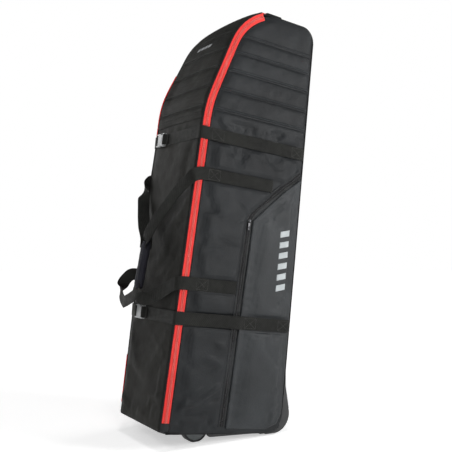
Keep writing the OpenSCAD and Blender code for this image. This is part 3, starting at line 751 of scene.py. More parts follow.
FLOOR = material("floor", floor_finish)
BACKDROP = material("backdrop", backdrop_finish)

# ---- shapes of the soft panels ----

UPPER_STRAP, LOWER_STRAP = 897.0, 358.0
UPPER_ANCHOR, LOWER_ANCHOR = 778.0, 458.0
WEB_W, WEB_T = 38.0, 2.4


def under(z, middle, reach=27.0):
    """1 across the webbing at this height, fading to 0 just outside it."""
    return ease((reach - abs(z - middle)) / 8)


def quilting(z, spread=1.0):
    """Raised tucks at the ribs and padding that swells between them."""
    edges = (FOLD_Z - 4,) + RIBS + (TOP_Z,)
    out = np.zeros(np.shape(z))
    for low, high in zip(edges[:-1], edges[1:]):
        u = np.clip((z - low) / (high - low), 0, 1)
        out += np.where((z >= low) & (z < high), 3.4 * (1 - np.abs(2 * u - 1) ** 3), 0)
    for r in RIBS:
        size = 0.7 if r == RIBS[-1] else 1.0
        out += size * (3.6 * bump(z - r - 0.5, 2.6) - 3.0 * bump(z - r + 5.0, 2.4))
    return out * spread


# Each crease runs from a y and z to another y and z, with its width and height.
SIDE_CREASES = (
    (-376, 84, -338, 134, 6, 3.4), (-352, 112, -296, 128, 5, 3.0), (-366, 84, -262, 96, 8, -2.6),
    (-300, 134, -228, 176, 6, 3.4), (-268, 128, -226, 140, 6, -2.2), (-330, 150, -286, 168, 7, 1.6),
    (-262, 212, -228, 236, 6, 1.8), (-340, 330, -262, 322, 9, -1.4), (-230, 282, -264, 296, 7, 1.5),
    (-280, 600, -205, 588, 7, 1.8), (-330, 560, -260, 570, 8, -1.4),
    (-215, 500, -262, 478, 6, 1.5), (-340, 900, -290, 920, 6, 1.6), (-330, 932, -292, 918, 6, -1.8),
    (-300, 250, -225, 236, 8, 1.6), (-190, 690, -225, 716, 5, 1.8), (-196, 666, -236, 650, 5, 1.6),
    (-330, 660, -250, 676, 10, 1.2), (-300, 400, -240, 408, 9, 1.2), (-120, 900, -60, 884, 9, 1.3))

# The pocket zip's middle line on the right side, as y and z from the foot up.
POCKET_ZIP = ((-214, 56), (-199, 350), (-186.5, 600), (-182.5, 655), (-177, 676), (-163, 694), (-133, 722),
              (-71, 779), (-38, 806), (-6, 833))
HELD_LINE = ((52, -214), (350, -199), (600, -187), (676, -178), (694, -163), (779, -71), (840, 4))
HELD_BESIDE_ZIP = 24


def loose(y, z, sign):
    """1 where the side cloth is free, 0 under the anchors and, on the right, under the pocket and its zip."""
    free = 1 - np.maximum(under(z, UPPER_ANCHOR) * ease((-70 - y) / 12),
                          under(z, LOWER_ANCHOR) * ease((-190 - y) / 12))
    if sign > 0:
        z_line, y_line = zip(*HELD_LINE)
        past_zip = y - np.interp(z, z_line, y_line) + HELD_BESIDE_ZIP
        free = free * (1 - ease(past_zip / 14) * (z < 850))
    return free


def side_out(y, z, field, sign=1):
    """How far a side's cloth stands out from the flat side face."""
    from_zip = y - np.interp(z, RIM[:, 1], RIM[:, 0]) - 15
    edge = ease(np.minimum(from_zip, -y) / 45)
    sewn = 1 - 0.9 * np.maximum(under(z, UPPER_STRAP), under(z, LOWER_STRAP))
    quilted = ease((z - FOLD_Z + 4) / 12) * ease(from_zip / 16) * ease((-y - 2) / 12)
    soft = 3.2 * edge * sewn + 0.9 * unevenness(y, z, 260, 3) * edge
    hung = edge * sewn * (1 - 0.8 * quilted) * loose(y, z, sign)
    drape = (1.5 * field(y, z) + 2.6 * creases(y, z, SIDE_CREASES)) * hung
    return -1.0 + soft + drape + quilting(z) * quilted


def side_at(sign, field):
    """The points of a side's cloth, depth under its outer face."""
    def at(y, z, depth):
        return np.stack([sign * (half_width(z) + side_out(y, z, field, sign) - depth), y, z], -1)
    return at


# The same for the front, in x and z.
FRONT_CREASES = (
    (-40, 820, 60, 800, 10, 1.6), (60, 640, 140, 590, 9, 1.8), (-120, 560, -40, 520, 10, 1.5),
    (20, 300, 120, 260, 9, 1.8), (-100, 210, 10, 180, 10, 1.6), (80, 120, 150, 150, 7, 2.0),
    (-130, 100, -60, 80, 8, 1.8), (30, 70, 110, 62, 6, 1.6))


def corner_drop(x, z, radius):
    """How far a rounded front corner falls away."""
    over = np.clip(np.abs(x) - (half_width(z) - radius), 0, radius * 0.999)
    return radius - np.sqrt(radius ** 2 - over ** 2)


def front_out(x, s, field):
    """How far the front cloth stands out from its flat face."""
    z = rim(s)[1]
    w = half_width(z)
    u = np.clip(np.abs(x) / w, 0, 1)
    edge = ease((1 - u) * w / 40)
    free = 1 - 0.85 * np.maximum(bump(z - UPPER_STRAP, 27), bump(z - LOWER_STRAP, 27))
    hooded = ease((z - FOLD_Z) / 14)
    crown = ease((s - rim_at(1090)) / 150)
    swell = 3.0 * (1 - u ** 2) * free + 3.5 * crown * (1 - u ** 2.4) - 2.0 * crown * ease((u - 0.8) / 0.2)
    drape = (0.7 * field(x, s) + 1.3 * creases(x, z, FRONT_CREASES)) * edge * free * (1 - 0.8 * hooded)
    tucks = quilting(z, 0.85) * hooded * ease((1 - u) * w / 14)
    return swell + drape + tucks - corner_drop(x, z, 6.0)


def front_at(field):
    def at(x, s, depth):
        y, z = rim(s, LID_OUT + front_out(x, s, field) - depth)
        return np.stack([x, y, z], -1)
    return at


def front_held(x, s):
    return 1 - ease(np.minimum(150 - np.abs(x), np.minimum(s - 6, FOLD_S - s)) / 30)


def side_held(y, z):
    """1 on the seams, the tucks and the upper strap, where the side cloth can't move."""
    gap = np.minimum(y - np.interp(z, RIM[:, 1], RIM[:, 0]) - 14, -y)
    gap = np.minimum(gap, np.minimum(z - 44, 1300 - z))
    lines = [abs(z - r) for r in RIBS] + [abs(z - UPPER_STRAP) - 12]
    return 1 - ease(np.minimum(gap, np.minimum.reduce(lines)) / 22)


def flat_field(a, b):
    return np.zeros(np.shape(a))


SIDE_FIELD = cloth_field("side_slack", (-400, 0), (40, 1306), 15, side_at(1, flat_field), side_held,
                         slack=0.022, pressure=1.2, cap=4.5)
FRONT_FIELD = cloth_field("front_slack", (-150, 150), (6, FOLD_S), 14, front_at(flat_field), front_held,
                          slack=0.016, pressure=0.8, cap=4.0)


def left_field(y, z):
    """The left side's folds: the right side's, shifted so that the two don't match."""
    return SIDE_FIELD(y, 0.83 * z + 40) * 0.9


# ---- side, front, top and back cloth ----

REAR_R = 45.0
HEEL_R = 36.0
CLOTH_T = 2.6


def side_outline():
    front = [rim(s) for s in np.linspace(RIM_S[0], RIM_END, 70)]
    corner = [(-REAR_R + REAR_R * math.sin(t), TOP_Z - REAR_R + REAR_R * math.cos(t))
              for t in np.linspace(0.0, math.pi / 2, 9)]
    heel = HEEL_R + 9
    foot = [(heel * math.cos(t) - HEEL_R, 38 + heel * (1 - math.sin(t)))
            for t in np.linspace(0.0, math.pi / 2, 9)]
    flare = [(0, 250), (4, 215), (8, 175), (9, 140)]
    return front + [(-165, 1303.5), (-140, TOP_Z)] + corner + flare + foot + [(-200, 36)]


SIDE_ROWS = rows_between(40, TOP_Z, 7.0, 1.6, RIBS, 12)
for name, sign, field in (("right", 1, SIDE_FIELD), ("left", -1, left_field)):
    cloth = sheet(name + "_side_cloth", side_outline(), side_at(sign, field), CLOTH_T, "case",
                  SIDE_CLOTH, SIDE_ROWS, step=7.0, edge=5.0)
    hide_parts(name + "_side_panel")


def front_outline(s0, s1, inset=0.4):
    """The front's width between two lengths along the zip line."""
    right = [(half_width(rim(s)[1]) - inset, s) for s in np.linspace(s0, s1, 60)]
    return right + [(-x, s) for x, s in reversed(right)]


LID_LOW = rim_at(46.0)
lid = sheet("front_cloth", front_outline(LID_LOW, FOLD_S - 0.6), front_at(FRONT_FIELD), CLOTH_T, "case",
            FRONT_CLOTH, rows_between(LID_LOW, FOLD_S, 8.0), step=8.0, edge=5.0)
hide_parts("front_panel")
hood_rows = rows_between(FOLD_S, RIM_END, 6.0, 1.7, [rim_at(r) for r in RIBS], 13)
hood = sheet("hood_cloth", front_outline(FOLD_S + 0.6, RIM_END), front_at(FRONT_FIELD), CLOTH_T, "hood_body",
             FRONT_CLOTH, hood_rows, step=6.0, edge=4.0)
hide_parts("hood")


def top_at(x, t, depth):
    """Along the top from the zip to the rear corner and round it."""
    run = -REAR_R - TOP_FRONT
    flat = np.minimum(t, run)
    turn = np.clip((t - run) / REAR_R, 0, math.pi / 2)
    u = np.abs(x) / half_width(TOP_Z)
    out = 2.2 * (1 - u ** 4) * ease(t / 20) - depth + 0.6 * unevenness(x, t, 120, 5)
    y = TOP_FRONT + flat + (REAR_R + out) * np.sin(turn)
    z = TOP_Z - REAR_R + (REAR_R + out) * np.cos(turn)
    return np.stack([x, y, z], -1)


TOP_FRONT = span("top_panel")[0][1]
TOP_RUN = -REAR_R - TOP_FRONT + REAR_R * math.pi / 2
TOP_HALF = half_width(TOP_Z) - 1.2
top_corners = [(-TOP_HALF, 0), (TOP_HALF, 0), (TOP_HALF, TOP_RUN), (-TOP_HALF, TOP_RUN)]
top = sheet("top_cloth", top_corners, top_at, CLOTH_T,
            "case", SIDE_CLOTH, rows_between(0, TOP_RUN, 7.0), step=9.0)
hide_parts("top_panel")


def back_at(x, z, depth):
    """The back's cloth, with a stitched line each side of its stiffener."""
    u = np.clip(np.abs(x) / half_width(z), 0, 1)
    out = 2.5 * (1 - u ** 2) * ease((z - 60) / 80) * ease((TOP_Z - z - 40) / 60)
    seam = -1.4 * bump(np.abs(x) - 84, 3.0) * (z > 190)
    return np.stack([x, out + seam + 0.9 * unevenness(x, z, 200, 9) * (1 - u ** 6) - depth, z], -1)


HOUSING_IN = span("right_wheel_housing")[0][0]
HOUSING_TOP = span("right_wheel_housing")[1][2]
BACK_TOP = TOP_Z - REAR_R
back_outline = [(-HOUSING_IN + 1, 43), (HOUSING_IN - 1, 43), (HOUSING_IN - 1, HOUSING_TOP + 2),
                (half_width(HOUSING_TOP) - 1.2, HOUSING_TOP + 2), (half_width(BACK_TOP) - 1.2, BACK_TOP),
                (-half_width(BACK_TOP) + 1.2, BACK_TOP), (-half_width(HOUSING_TOP) + 1.2, HOUSING_TOP + 2),
                (-HOUSING_IN + 1, HOUSING_TOP + 2)]
back = sheet("back_cloth", back_outline, back_at, CLOTH_T, "case", SIDE_CLOTH,
             rows_between(43, BACK_TOP, 9.0), step=9.0)
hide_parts("back_panel")


def fold_at(x, s, depth):
    y, z = rim(s, LID_OUT + front_out(x, s, flat_field) + 0.9 - depth)
    return np.stack([x, y, z], -1)


FOLD_REACH = 9.0
fold_cloth = sheet("fold_cloth", front_outline(FOLD_S - FOLD_REACH, FOLD_S + FOLD_REACH, 1.5), fold_at, 0.8,
                   "case", FRONT_CLOTH,
                   rows_between(FOLD_S - FOLD_REACH, FOLD_S + FOLD_REACH, 3.0), step=10.0)


def cross_fold(obj):
    """Takes a piece off its parent and bakes its place into its mesh; it is not bent round the hinge."""
    obj.parent = None
    low, high = (place([0, *rim(FOLD_S + d, LID_OUT)]) for d in (-6, 6))
    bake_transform(obj)


cross_fold(fold_cloth)

# ---- linings and pads, seen when the hood is open ----


PAD_T = 7.0


def pad_sheet(name, outline, at, body, node_name, rows):
    pad = sheet(name, outline, at, PAD_T, body, LINING, rows, step=9.0)
    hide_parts(node_name)
    return pad


def quilt_wave(z):
    """0 at each quilted line and 1 half way between."""
    return np.abs(np.sin(math.pi * (z - RIBS[0]) / 62.0)) ** 0.5


def side_pad_outline():
    front = [rim(s, -15) for s in np.linspace(rim_at(962), RIM_END - 16, 30)]
    return front + [(-165, 1288), (-62, 1288), (-24, 1252), (-24, 960)]


for name, sign in SIDES:
    def pad_at(y, z, depth, sign=sign):
        puff = 1.6 * (1 - quilt_wave(z)) - 1.0
        return np.stack([sign * (half_width(z) - 6.8 - depth + 0.3 * (depth > 0) * puff), y, z], -1)
    pad_sheet(name + "_pad", side_pad_outline(), pad_at, "case", name + "_side_padding",
              rows_between(960, 1290, 6.0))


def hood_pad_at(x, s, depth):
    puff = 1.5 * quilt_wave(rim(s)[1])
    y, z = rim(s, 2.4 - depth - puff * (depth > 0))
    return np.stack([x, y, z], -1)


HOOD_PAD = [(s, half_width(rim(s)[1]) - 18) for s in np.linspace(FOLD_S + 8, RIM_END - 5, 40)]
pad_sheet("hood_pad", [(w, s) for s, w in HOOD_PAD] + [(-w, s) for s, w in reversed(HOOD_PAD)], hood_pad_at,
          "hood_body", "hood_padding", rows_between(FOLD_S, RIM_END, 6.0))

# ---- main zip ----

# Half of the zip's cross-section: out from its middle and up from the face, with the edge ribs.
TAPE_EDGE = 11.4
TAPE_LOOP = ((0.2, 0.1), (TAPE_EDGE, 0.1), (TAPE_EDGE + 0.2, 1.1), (10.0, 2.1), (9.2, 1.3), (8.3, 2.2),
             (7.3, 2.6), (6.5, 1.5), (5.7, 2.7), (4.7, 2.9), (4.1, 1.7), (0.2, 1.7))
ZIP_REACH = RIM_END - 1.0
BASE_UP = 0.8


def tape(name, s0, s1, sign, out_sign, body, node_names):
    s_values = np.linspace(s0, s1, max(4, int((s1 - s0) / 9)))
    loop = [(out_sign * out, up + BASE_UP) for out, up in TAPE_LOOP]
    strip = side_strip(name, s_values, loop, sign, body, RED_TAPE)
    if node_names:
        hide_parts(*node_names)
    return strip


COIL_PITCH = 2.6
COIL_LOOP = ((-0.95, 0.0), (-0.55, 0.9), (0.55, 0.9), (0.95, 0.0))


def coil(name, s0, s1, sign, out_sign, body):
    """One side's coil: a row of small rounded loops."""
    bars = []
    for s in np.arange(s0, s1, COIL_PITCH):
        bar = []
        for ds, rise in COIL_LOOP:
            for out, share in ((0.12, 0.75), (3.9, 1.0)):
                y, z = rim(s + ds, out_sign * out)
                bar.append((sign * (half_width(z) + BASE_UP + 2.5 + (rise + 0.2) * share), y, z))
        bars.append(bar)
    row_of_bars(name, bars, place_soft, body, RED_COIL)


ZIP_RUNS = (("lid", ZIP_LOW, FOLD_S - 0.7, 1, "case", "zip_tape_lid"),
            ("hood", FOLD_S + 0.7, ZIP_REACH, 1, "hood_body", "zip_tape_hood"),
            ("shell", ZIP_LOW, ZIP_REACH, -1, "case", "zip_tape_shell"))
for run, s0, s1, out_sign, body, node_name in ZIP_RUNS:
    for name, sign in SIDES:
        tape(f"{name}_{run}_tape", s0, s1, sign, out_sign, body, [node_name] if sign > 0 else [])
        coil(f"{name}_{run}_coil", s0 + 1, s1 - 1, sign, out_sign, body)

ACROSS_Z = TOP_Z + 2.4
ACROSS_HALF = half_width(TOP_Z) - 4


def crown(x):
    return 1 - (x / ACROSS_HALF) ** 2


def cross_tape(name, y0, y1, z, body):
    """Zip tape across the top, between two places in y."""
    path = np.array([(x, (y0 + y1) / 2, z + crown(x)) for x in np.linspace(-ACROSS_HALF, ACROSS_HALF, 40)])
    ribbon(name, path, (0, 1, 0), abs(y1 - y0), 1.8, body, RED_TAPE)


def cross_coil(name, y_centre, body):
    bars = []
    for x in np.arange(-ACROSS_HALF + 3, ACROSS_HALF - 3, COIL_PITCH):
        bars.append([(x + dx, y_centre + dy, ACROSS_Z + 1.9 + crown(x) + rise)
                     for dx, rise in COIL_LOOP for dy in (-1.9, 1.9)])
    row_of_bars(name, bars, place, body, RED_COIL)


cross_tape("shell_top_tape", TOP_FRONT + 0.5, TOP_FRONT + 13, ACROSS_Z, "case")
cross_tape("hood_top_tape", TOP_FRONT - 14, TOP_FRONT - 0.8, ACROSS_Z - 1.5, "hood_body")
cross_coil("shell_top_coil", TOP_FRONT + 2.2, "case")
cross_coil("hood_top_coil", TOP_FRONT - 2.6, "hood_body")


def edge_binding(name, s0, s1, oval, sign, body, mat=BLACK_TAPE):
    """A bound edge along the zip line. oval is its middle, out and up, and its width and height."""
    out, up, across, high = oval
    angles = np.linspace(0, 2 * math.pi, 8, endpoint=False)
    loop = [(out + across / 2 * math.cos(t), up + high / 2 * math.sin(t)) for t in angles]
    return side_strip(name, np.linspace(s0, s1, max(4, int((s1 - s0) / 10))), loop, sign, body, mat)


OUTER_BINDING = (13.6, 0.2, 4.6, 3.0)
for name, sign in SIDES:
    edge_binding(name + "_shell_binding", LID_LOW, ZIP_REACH, (-14.4, 0.9, 5.0, 2.6), sign, "case")
    edge_binding(name + "_lid_binding", LID_LOW, FOLD_S - 0.7, OUTER_BINDING, sign, "case")
    edge_binding(name + "_hood_binding", FOLD_S + 0.7, ZIP_REACH, OUTER_BINDING, sign, "hood_body")

BRIDGE = 8
bridge_loop = [(out, up + BASE_UP + 0.15) for out, up in TAPE_LOOP]
patch_loop = [(-15, 0.2), (13.5, 0.2), (14.5, 0.9), (13.5, 1.7), (-14, 1.7), (-15, 1.0)]
fold_s = np.linspace(FOLD_S - BRIDGE, FOLD_S + BRIDGE, 9)
end_s = np.linspace(LID_LOW - 1, ZIP_LOW + 2, 6)
for name, sign in SIDES:
    cross_fold(side_strip(name + "_fold_tape", fold_s, bridge_loop, sign, None, RED_TAPE))
    cross_fold(edge_binding(name + "_fold_binding", fold_s[0], fold_s[-1], (13.6, 0.3, 4.8, 3.2), sign, None))
    side_strip(name + "_zip_end", end_s, patch_loop, sign, "case", SIDE_CLOTH)

# The far zip's red edge shows past the left front corner here.
FAR_EDGES = (("left_lid_tape_foot", 66, 214, "case"), ("left_lid_tape_edge", 918, FOLD_Z - 1, "case"),
             ("left_hood_tape_edge", FOLD_Z + 1, 1124, "hood_body"))
for name, z0, z1, body in FAR_EDGES:
    edge_binding(name, rim_at(z0), rim_at(z1), (16.6, -1.2, 3.4, 3.4), -1, body, RED_TAPE)


def cord_tube(name, path, radius, body, mat):
    """Sewn-in piping: a round tube along a path."""
    d = directions(path)
    ref = np.where(np.abs(d[:, [0]]) > 0.9, [[0, 0, 1.0]], [[1.0, 0, 0]])
    u = ref - (ref * d).sum(1)[:, None] * d
    u /= np.linalg.norm(u, axis=1)[:, None]
    v = np.cross(d, u)
    angles = np.linspace(0, 2 * math.pi, 8, endpoint=False)
    rings = [place_soft(np.array([p + radius * (a * math.cos(t) + b * math.sin(t)) for t in angles]))
             for p, a, b in zip(path, u, v)]
    return tube(name, rings, body, mat)


# The cords in the quilted tucks, in a lighter cloth than the panels: a painted highlight along each tuck's crest
for k, r in enumerate(RIBS):
    thick = 1.1 if r == RIBS[-1] else 1.5
    y = np.linspace(float(np.interp(r, RIM[:, 1], RIM[:, 0])) + 17, -4, 60)
    for name, sign, field in (("right", 1, SIDE_FIELD), ("left", -1, left_field)):
        path = side_at(sign, field)(y, r + 0.6 + 0 * y, -0.3)
        cord_tube(f"{name}_tuck_{k + 1}", path, thick, "case", TUCK_HIGHLIGHT_CLOTH)
    x = np.linspace(-half_width(r) + 3, half_width(r) - 3, 50)
    path = front_at(FRONT_FIELD)(x, rim_at(r) + 0.6 + 0 * x, -0.2)
    cord_tube(f"hood_tuck_{k + 1}", path, thick, "hood_body", TUCK_HIGHLIGHT_FRONT)

# A plain badge: four slanted bars
BADGE_LOW, BADGE_HIGH = rim_at(1187.0), rim_at(1195.0)


def badge_at(x, s, depth):
    return front_at(FRONT_FIELD)(x, s, depth - 0.8)


for k, (x0, x1) in enumerate(((-50, -34), (-28, -12), (-6, 10), (16, 32))):
    bar = [(x0, BADGE_LOW), (x1, BADGE_LOW), (x1 + 6, BADGE_HIGH), (x0 + 6, BADGE_HIGH)]
    rows = rows_between(BADGE_LOW, BADGE_HIGH, 3.0)
    piece = sheet(f"badge_bar_{k + 1}", bar, badge_at, 1.0, "hood_body", BADGE, rows,
                  step=4.0, edge=2.0)
    if k == 0:
        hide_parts("badge")


def rear_path(sign):
    """Up the back edge, round the rear corner and along the top."""
    pts = [(sign * (half_width(z) - 0.8), 0.6, z) for z in np.linspace(HOUSING_TOP - 30, BACK_TOP, 66)]
    for t in np.linspace(0, math.pi / 2, 12)[1:]:
        pts.append((sign * (half_width(TOP_Z) - 0.8), -REAR_R + (REAR_R + 0.6) * math.cos(t),
                    TOP_Z - REAR_R + (REAR_R + 0.6) * math.sin(t)))
    for y in np.linspace(-REAR_R, TOP_FRONT + 8, 16)[1:]:
        pts.append((sign * (half_width(TOP_Z) - 0.8), y, TOP_Z + 0.4))
    return np.array(pts)


pipings = [cord_tube(name + "_rear_piping", rear_path(sign), 2.2, "case", BLACK_TAPE)
           for name, sign in SIDES]
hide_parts("rear_piping")


for name, sign in SIDES:
    hem = [(sign * (half_width(40) - 0.2), y, 38.5 - 1.5 * ease((y + 390) / 200))
           for y in np.linspace(-392, -60, 30)]
    cord_tube(name + "_hem", np.array(hem), 2.4, "case", BLACK_TAPE)
HEM_HALF = half_width(46) - 3
front_hem = [(x, rim(LID_LOW, LID_OUT - 1.6)[0], 45.0) for x in np.linspace(-HEM_HALF, HEM_HALF, 30)]
cord_tube("front_hem", np.array(front_hem), 2.6, "case", BLACK_TAPE)

# ---- pocket ----

POCKET = [(-201, 52), (-170, 664), (-125, 709), (-65, 767), (-4, 816), (-4, 96), (-20, 64), (-60, 47)]


def behind_zip(y, z):
    """How far behind the pocket's zip edge a place is."""
    return y - np.interp(z, [52, 664, 709, 767, 816], [-201, -170, -125, -65, -4])


def pocket_held(y, z):
    gap = np.minimum(np.minimum(behind_zip(y, z), -4 - y), z - 48)
    return 1 - ease(np.minimum(gap, np.abs(z - LOWER_STRAP) - 10) / 20)


def pocket_out(y, z, field):
    """How far the pocket's cloth stands out: a lip along the zip, puckers behind it, and a full middle."""
    past = behind_zip(y, z)
    edge = ease(np.minimum(past / 70, -y / 45)) * ease((z - 40) / 60)
    strapped = under(z, LOWER_STRAP, 30)
    lip = 3.0 * bump(past - 5, 7) * (1 - 0.6 * strapped)
    ripple = np.sin(z / 3.9 + 2.3 * np.sin(z / 31)) * (0.6 + 0.4 * np.sin(z / 57))
    pucker = bump(past - 11, 15) * 0.55 * ripple * (1 - 0.8 * strapped)
    belly = (5.5 + unevenness(y, z, 150, 12) + 0.6 * field(y, z)) * edge * (1 - 0.8 * strapped)
    return 3.2 + lip + pucker + belly


def pocket_on(field):
    def at(y, z, depth):
        return np.stack([half_width(z) + pocket_out(y, z, field) - depth, y, z], -1)
    return at


POCKET_FIELD = cloth_field("pocket_slack", (-205, -2), (46, 830), 12, pocket_on(flat_field), pocket_held,
                           slack=0.026, pressure=1.2, cap=4.0)
pocket_at = pocket_on(POCKET_FIELD)
# The pocket's cloth colour is lighter than the side's: painted light on its bulge.
pocket = sheet("pocket_cloth", POCKET, pocket_at, 2.4, "case", POCKET_CLOTH_PAINTED_LIGHT,
               rows_between(47, 816, 3.0), step=5.0, edge=3.0)
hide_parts("pocket_panel")


ZIP_LIFT = 0.4


def face_strip(name, path, loop, mat):
    """A strip on the right side face along a path of (y, z). loop is its section, across and up."""
    rings = []
    for (y, z), (dy, dz) in zip(path, directions(path)):
        rings.append(place([(half_width(z) + ZIP_LIFT + up, y - dz * a, z + dy * a) for a, up in loop]))
    return tube(name, rings, "case", mat)


POCKET_PATH = catmull(POCKET_ZIP, 12)
ZIP_BAND = [(-11, 0.4), (-11, 1.2), (-4, 1.9), (4, 1.9), (11, 1.2), (11, 0.4)]
pocket_tape = face_strip("pocket_tape", POCKET_PATH, ZIP_BAND, BLACK_TAPE)
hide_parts("pocket_zip")
WELT = [(8.2, 0.2), (8.0, 2.6), (9.4, 3.6), (12.6, 3.2), (15.0, 1.0), (15.0, 0.2)]
face_strip("pocket_outer_welt", POCKET_PATH, WELT, SIDE_CLOTH)


TOOTH = ((-0.8, 0.1), (-0.45, 0.8), (0.45, 0.8), (0.8, 0.1))


def pocket_teeth():
    run = np.concatenate([[0], np.cumsum(np.linalg.norm(np.diff(POCKET_PATH, axis=0), axis=1))])
    bars = []
    for s in np.arange(2, run[-1] - 2, 2.2):
        (y, z), ahead, behind = (np.array([np.interp(s + step, run, POCKET_PATH[:, k]) for k in (0, 1)])
                                 for step in (0, 1, -1))
        dy, dz = (ahead - behind) / math.hypot(*(ahead - behind))
        bars.append([(half_width(z) + 2.2 + rise, y + dy * ds - dz * a, z + dz * ds + dy * a)
                     for ds, rise in TOOTH for a in (-2.6, 2.6)])
    row_of_bars("pocket_coil", bars, place, "case", BLACK_COIL)


pocket_teeth()

for k, across in enumerate((-9.2, -6.4, 6.6)):
    d = directions(POCKET_PATH)
    yz = POCKET_PATH + across * np.stack([-d[:, 1], d[:, 0]], -1)
    line = [(half_width(z) + ZIP_LIFT + 1.75, y, z) for y, z in yz]
    stitch_row(f"pocket_zip_stitch_{k + 1}", line, (1, 0, 0), 3.4, 2.2, 0.8, put=place)


def print_at(y, z, depth):
    return pocket_at(y, z, depth - 0.35)


# A plain printed mark: slanted blocks
MARK_LOW, MARK_HIGH, MARK_Y0, MARK_Y1, BLOCKS = 460.0, 658.0, -70.0, -36.0, 6
pitch = (MARK_HIGH - MARK_LOW) / BLOCKS
for k in range(BLOCKS):
    z0 = MARK_LOW + pitch * k
    block = [(MARK_Y0, z0), (MARK_Y1, z0 + 9), (MARK_Y1, z0 + 9 + pitch * 0.56), (MARK_Y0, z0 + pitch * 0.56)]
    sheet(f"print_block_{k + 1}", block, print_at, 0.3, "case",
          PRINT, rows_between(z0, z0 + pitch, 3.0), step=5.0, edge=3.0)

# ---- straps ----


def strap_path(z, side_part, x_end, sign):
    """side_part is a list of (gap from the side face, y); then round the corner and across the front."""
    w = half_width(z)
    pts = [(w + gap, y) for gap, y in side_part]
    y_front = rim(rim_at(z), LID_OUT)[0]
    pts += [(w + 5.0, y_front + 12), (w + 4.4, y_front + 3), (w + 1.8, y_front - 1.6), (w - 4, y_front - 3.0)]
    xs = np.arange(w - 14, sign * x_end, -10)
    pts += [(x, y_front - 2.9) for x in xs] + [(sign * x_end, y_front - 2.9)]
    line = catmull([(x, y, z) for x, y in pts], 3)
    line[:, 0] *= sign
    return line


def along(gap, y0, y1, step=12):
    return [(gap, y) for y in np.arange(y0, y1, -step)]


upper_side = along(4.2, -3, -330) + [(4.4, -340), (5.0, -352)]
lower_side = along(9.0, -5, -176) + [(10.6, -190), (10.6, -208), (7.0, -240)] + along(6.0, -256, -376)
far_lower = along(5.2, -5, -376)
UPPER_SOCKET, LOWER_SOCKET = span("upper_buckle_socket"), span("lower_buckle_socket")
UPPER_X, LOWER_X = UPPER_SOCKET[0][0], LOWER_SOCKET[0][0]
STRAPS = (("upper_strap_right", UPPER_STRAP, upper_side, UPPER_X + 30, 1, WEBBING),
          ("upper_strap_left", UPPER_STRAP, upper_side, UPPER_X - 16, -1, WEBBING),
          ("lower_strap_right", LOWER_STRAP, lower_side, LOWER_X + 30, 1, WEBBING),
          ("lower_strap_left", LOWER_STRAP, far_lower, LOWER_X - 16, -1, WEBBING_LIGHT))
for node_name, z, part, x_end, sign, mat in STRAPS:
    line = strap_path(z, part, x_end, sign)
    piece = ribbon(node_name + "_web", line, (0, 0, 1), WEB_W, WEB_T, "case", mat)
    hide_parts(node_name)


def box_stitch(name, y0, y1, z, gap, sign):
    """A sewn box with a cross in it, on the side face."""
    h = WEB_W / 2 - 4
    corners = [(y0, z - h), (y1, z - h), (y1, z + h), (y0, z + h), (y0, z - h)]
    for k, line in enumerate((corners, corners[0:3:2], corners[1:4:2])):
        path = []
        for p, q in zip(line[:-1], line[1:]):
            path += [(p[0] + (q[0] - p[0]) * t, p[1] + (q[1] - p[1]) * t) for t in np.linspace(0, 1, 12)]
        pts3 = [(sign * (half_width(b) + gap), a, b) for a, b in path]
        stitch_row(f"{name}_{k}", pts3, (sign, 0, 0), 4.2)


for name, sign in SIDES:
    lower_gap = 10.3 if sign > 0 else 6.5
    box_stitch(name + "_upper_stitch_a", -340, -300, UPPER_STRAP, 5.5, sign)
    box_stitch(name + "_upper_stitch_b", -50, -10, UPPER_STRAP, 5.5, sign)
    box_stitch(name + "_lower_stitch_a", -172, -132, LOWER_STRAP, lower_gap, sign)
    box_stitch(name + "_lower_stitch_b", -50, -10, LOWER_STRAP, lower_gap, sign)
    box_stitch(name + "_handle_stitch_a", -338, -300, UPPER_ANCHOR, 5.2, sign)
    box_stitch(name + "_handle_stitch_b", -344, -306, LOWER_ANCHOR, 5.2, sign)

# ---- buckles ----


HALF_H = 20.5
SOCKET_LEN = 30


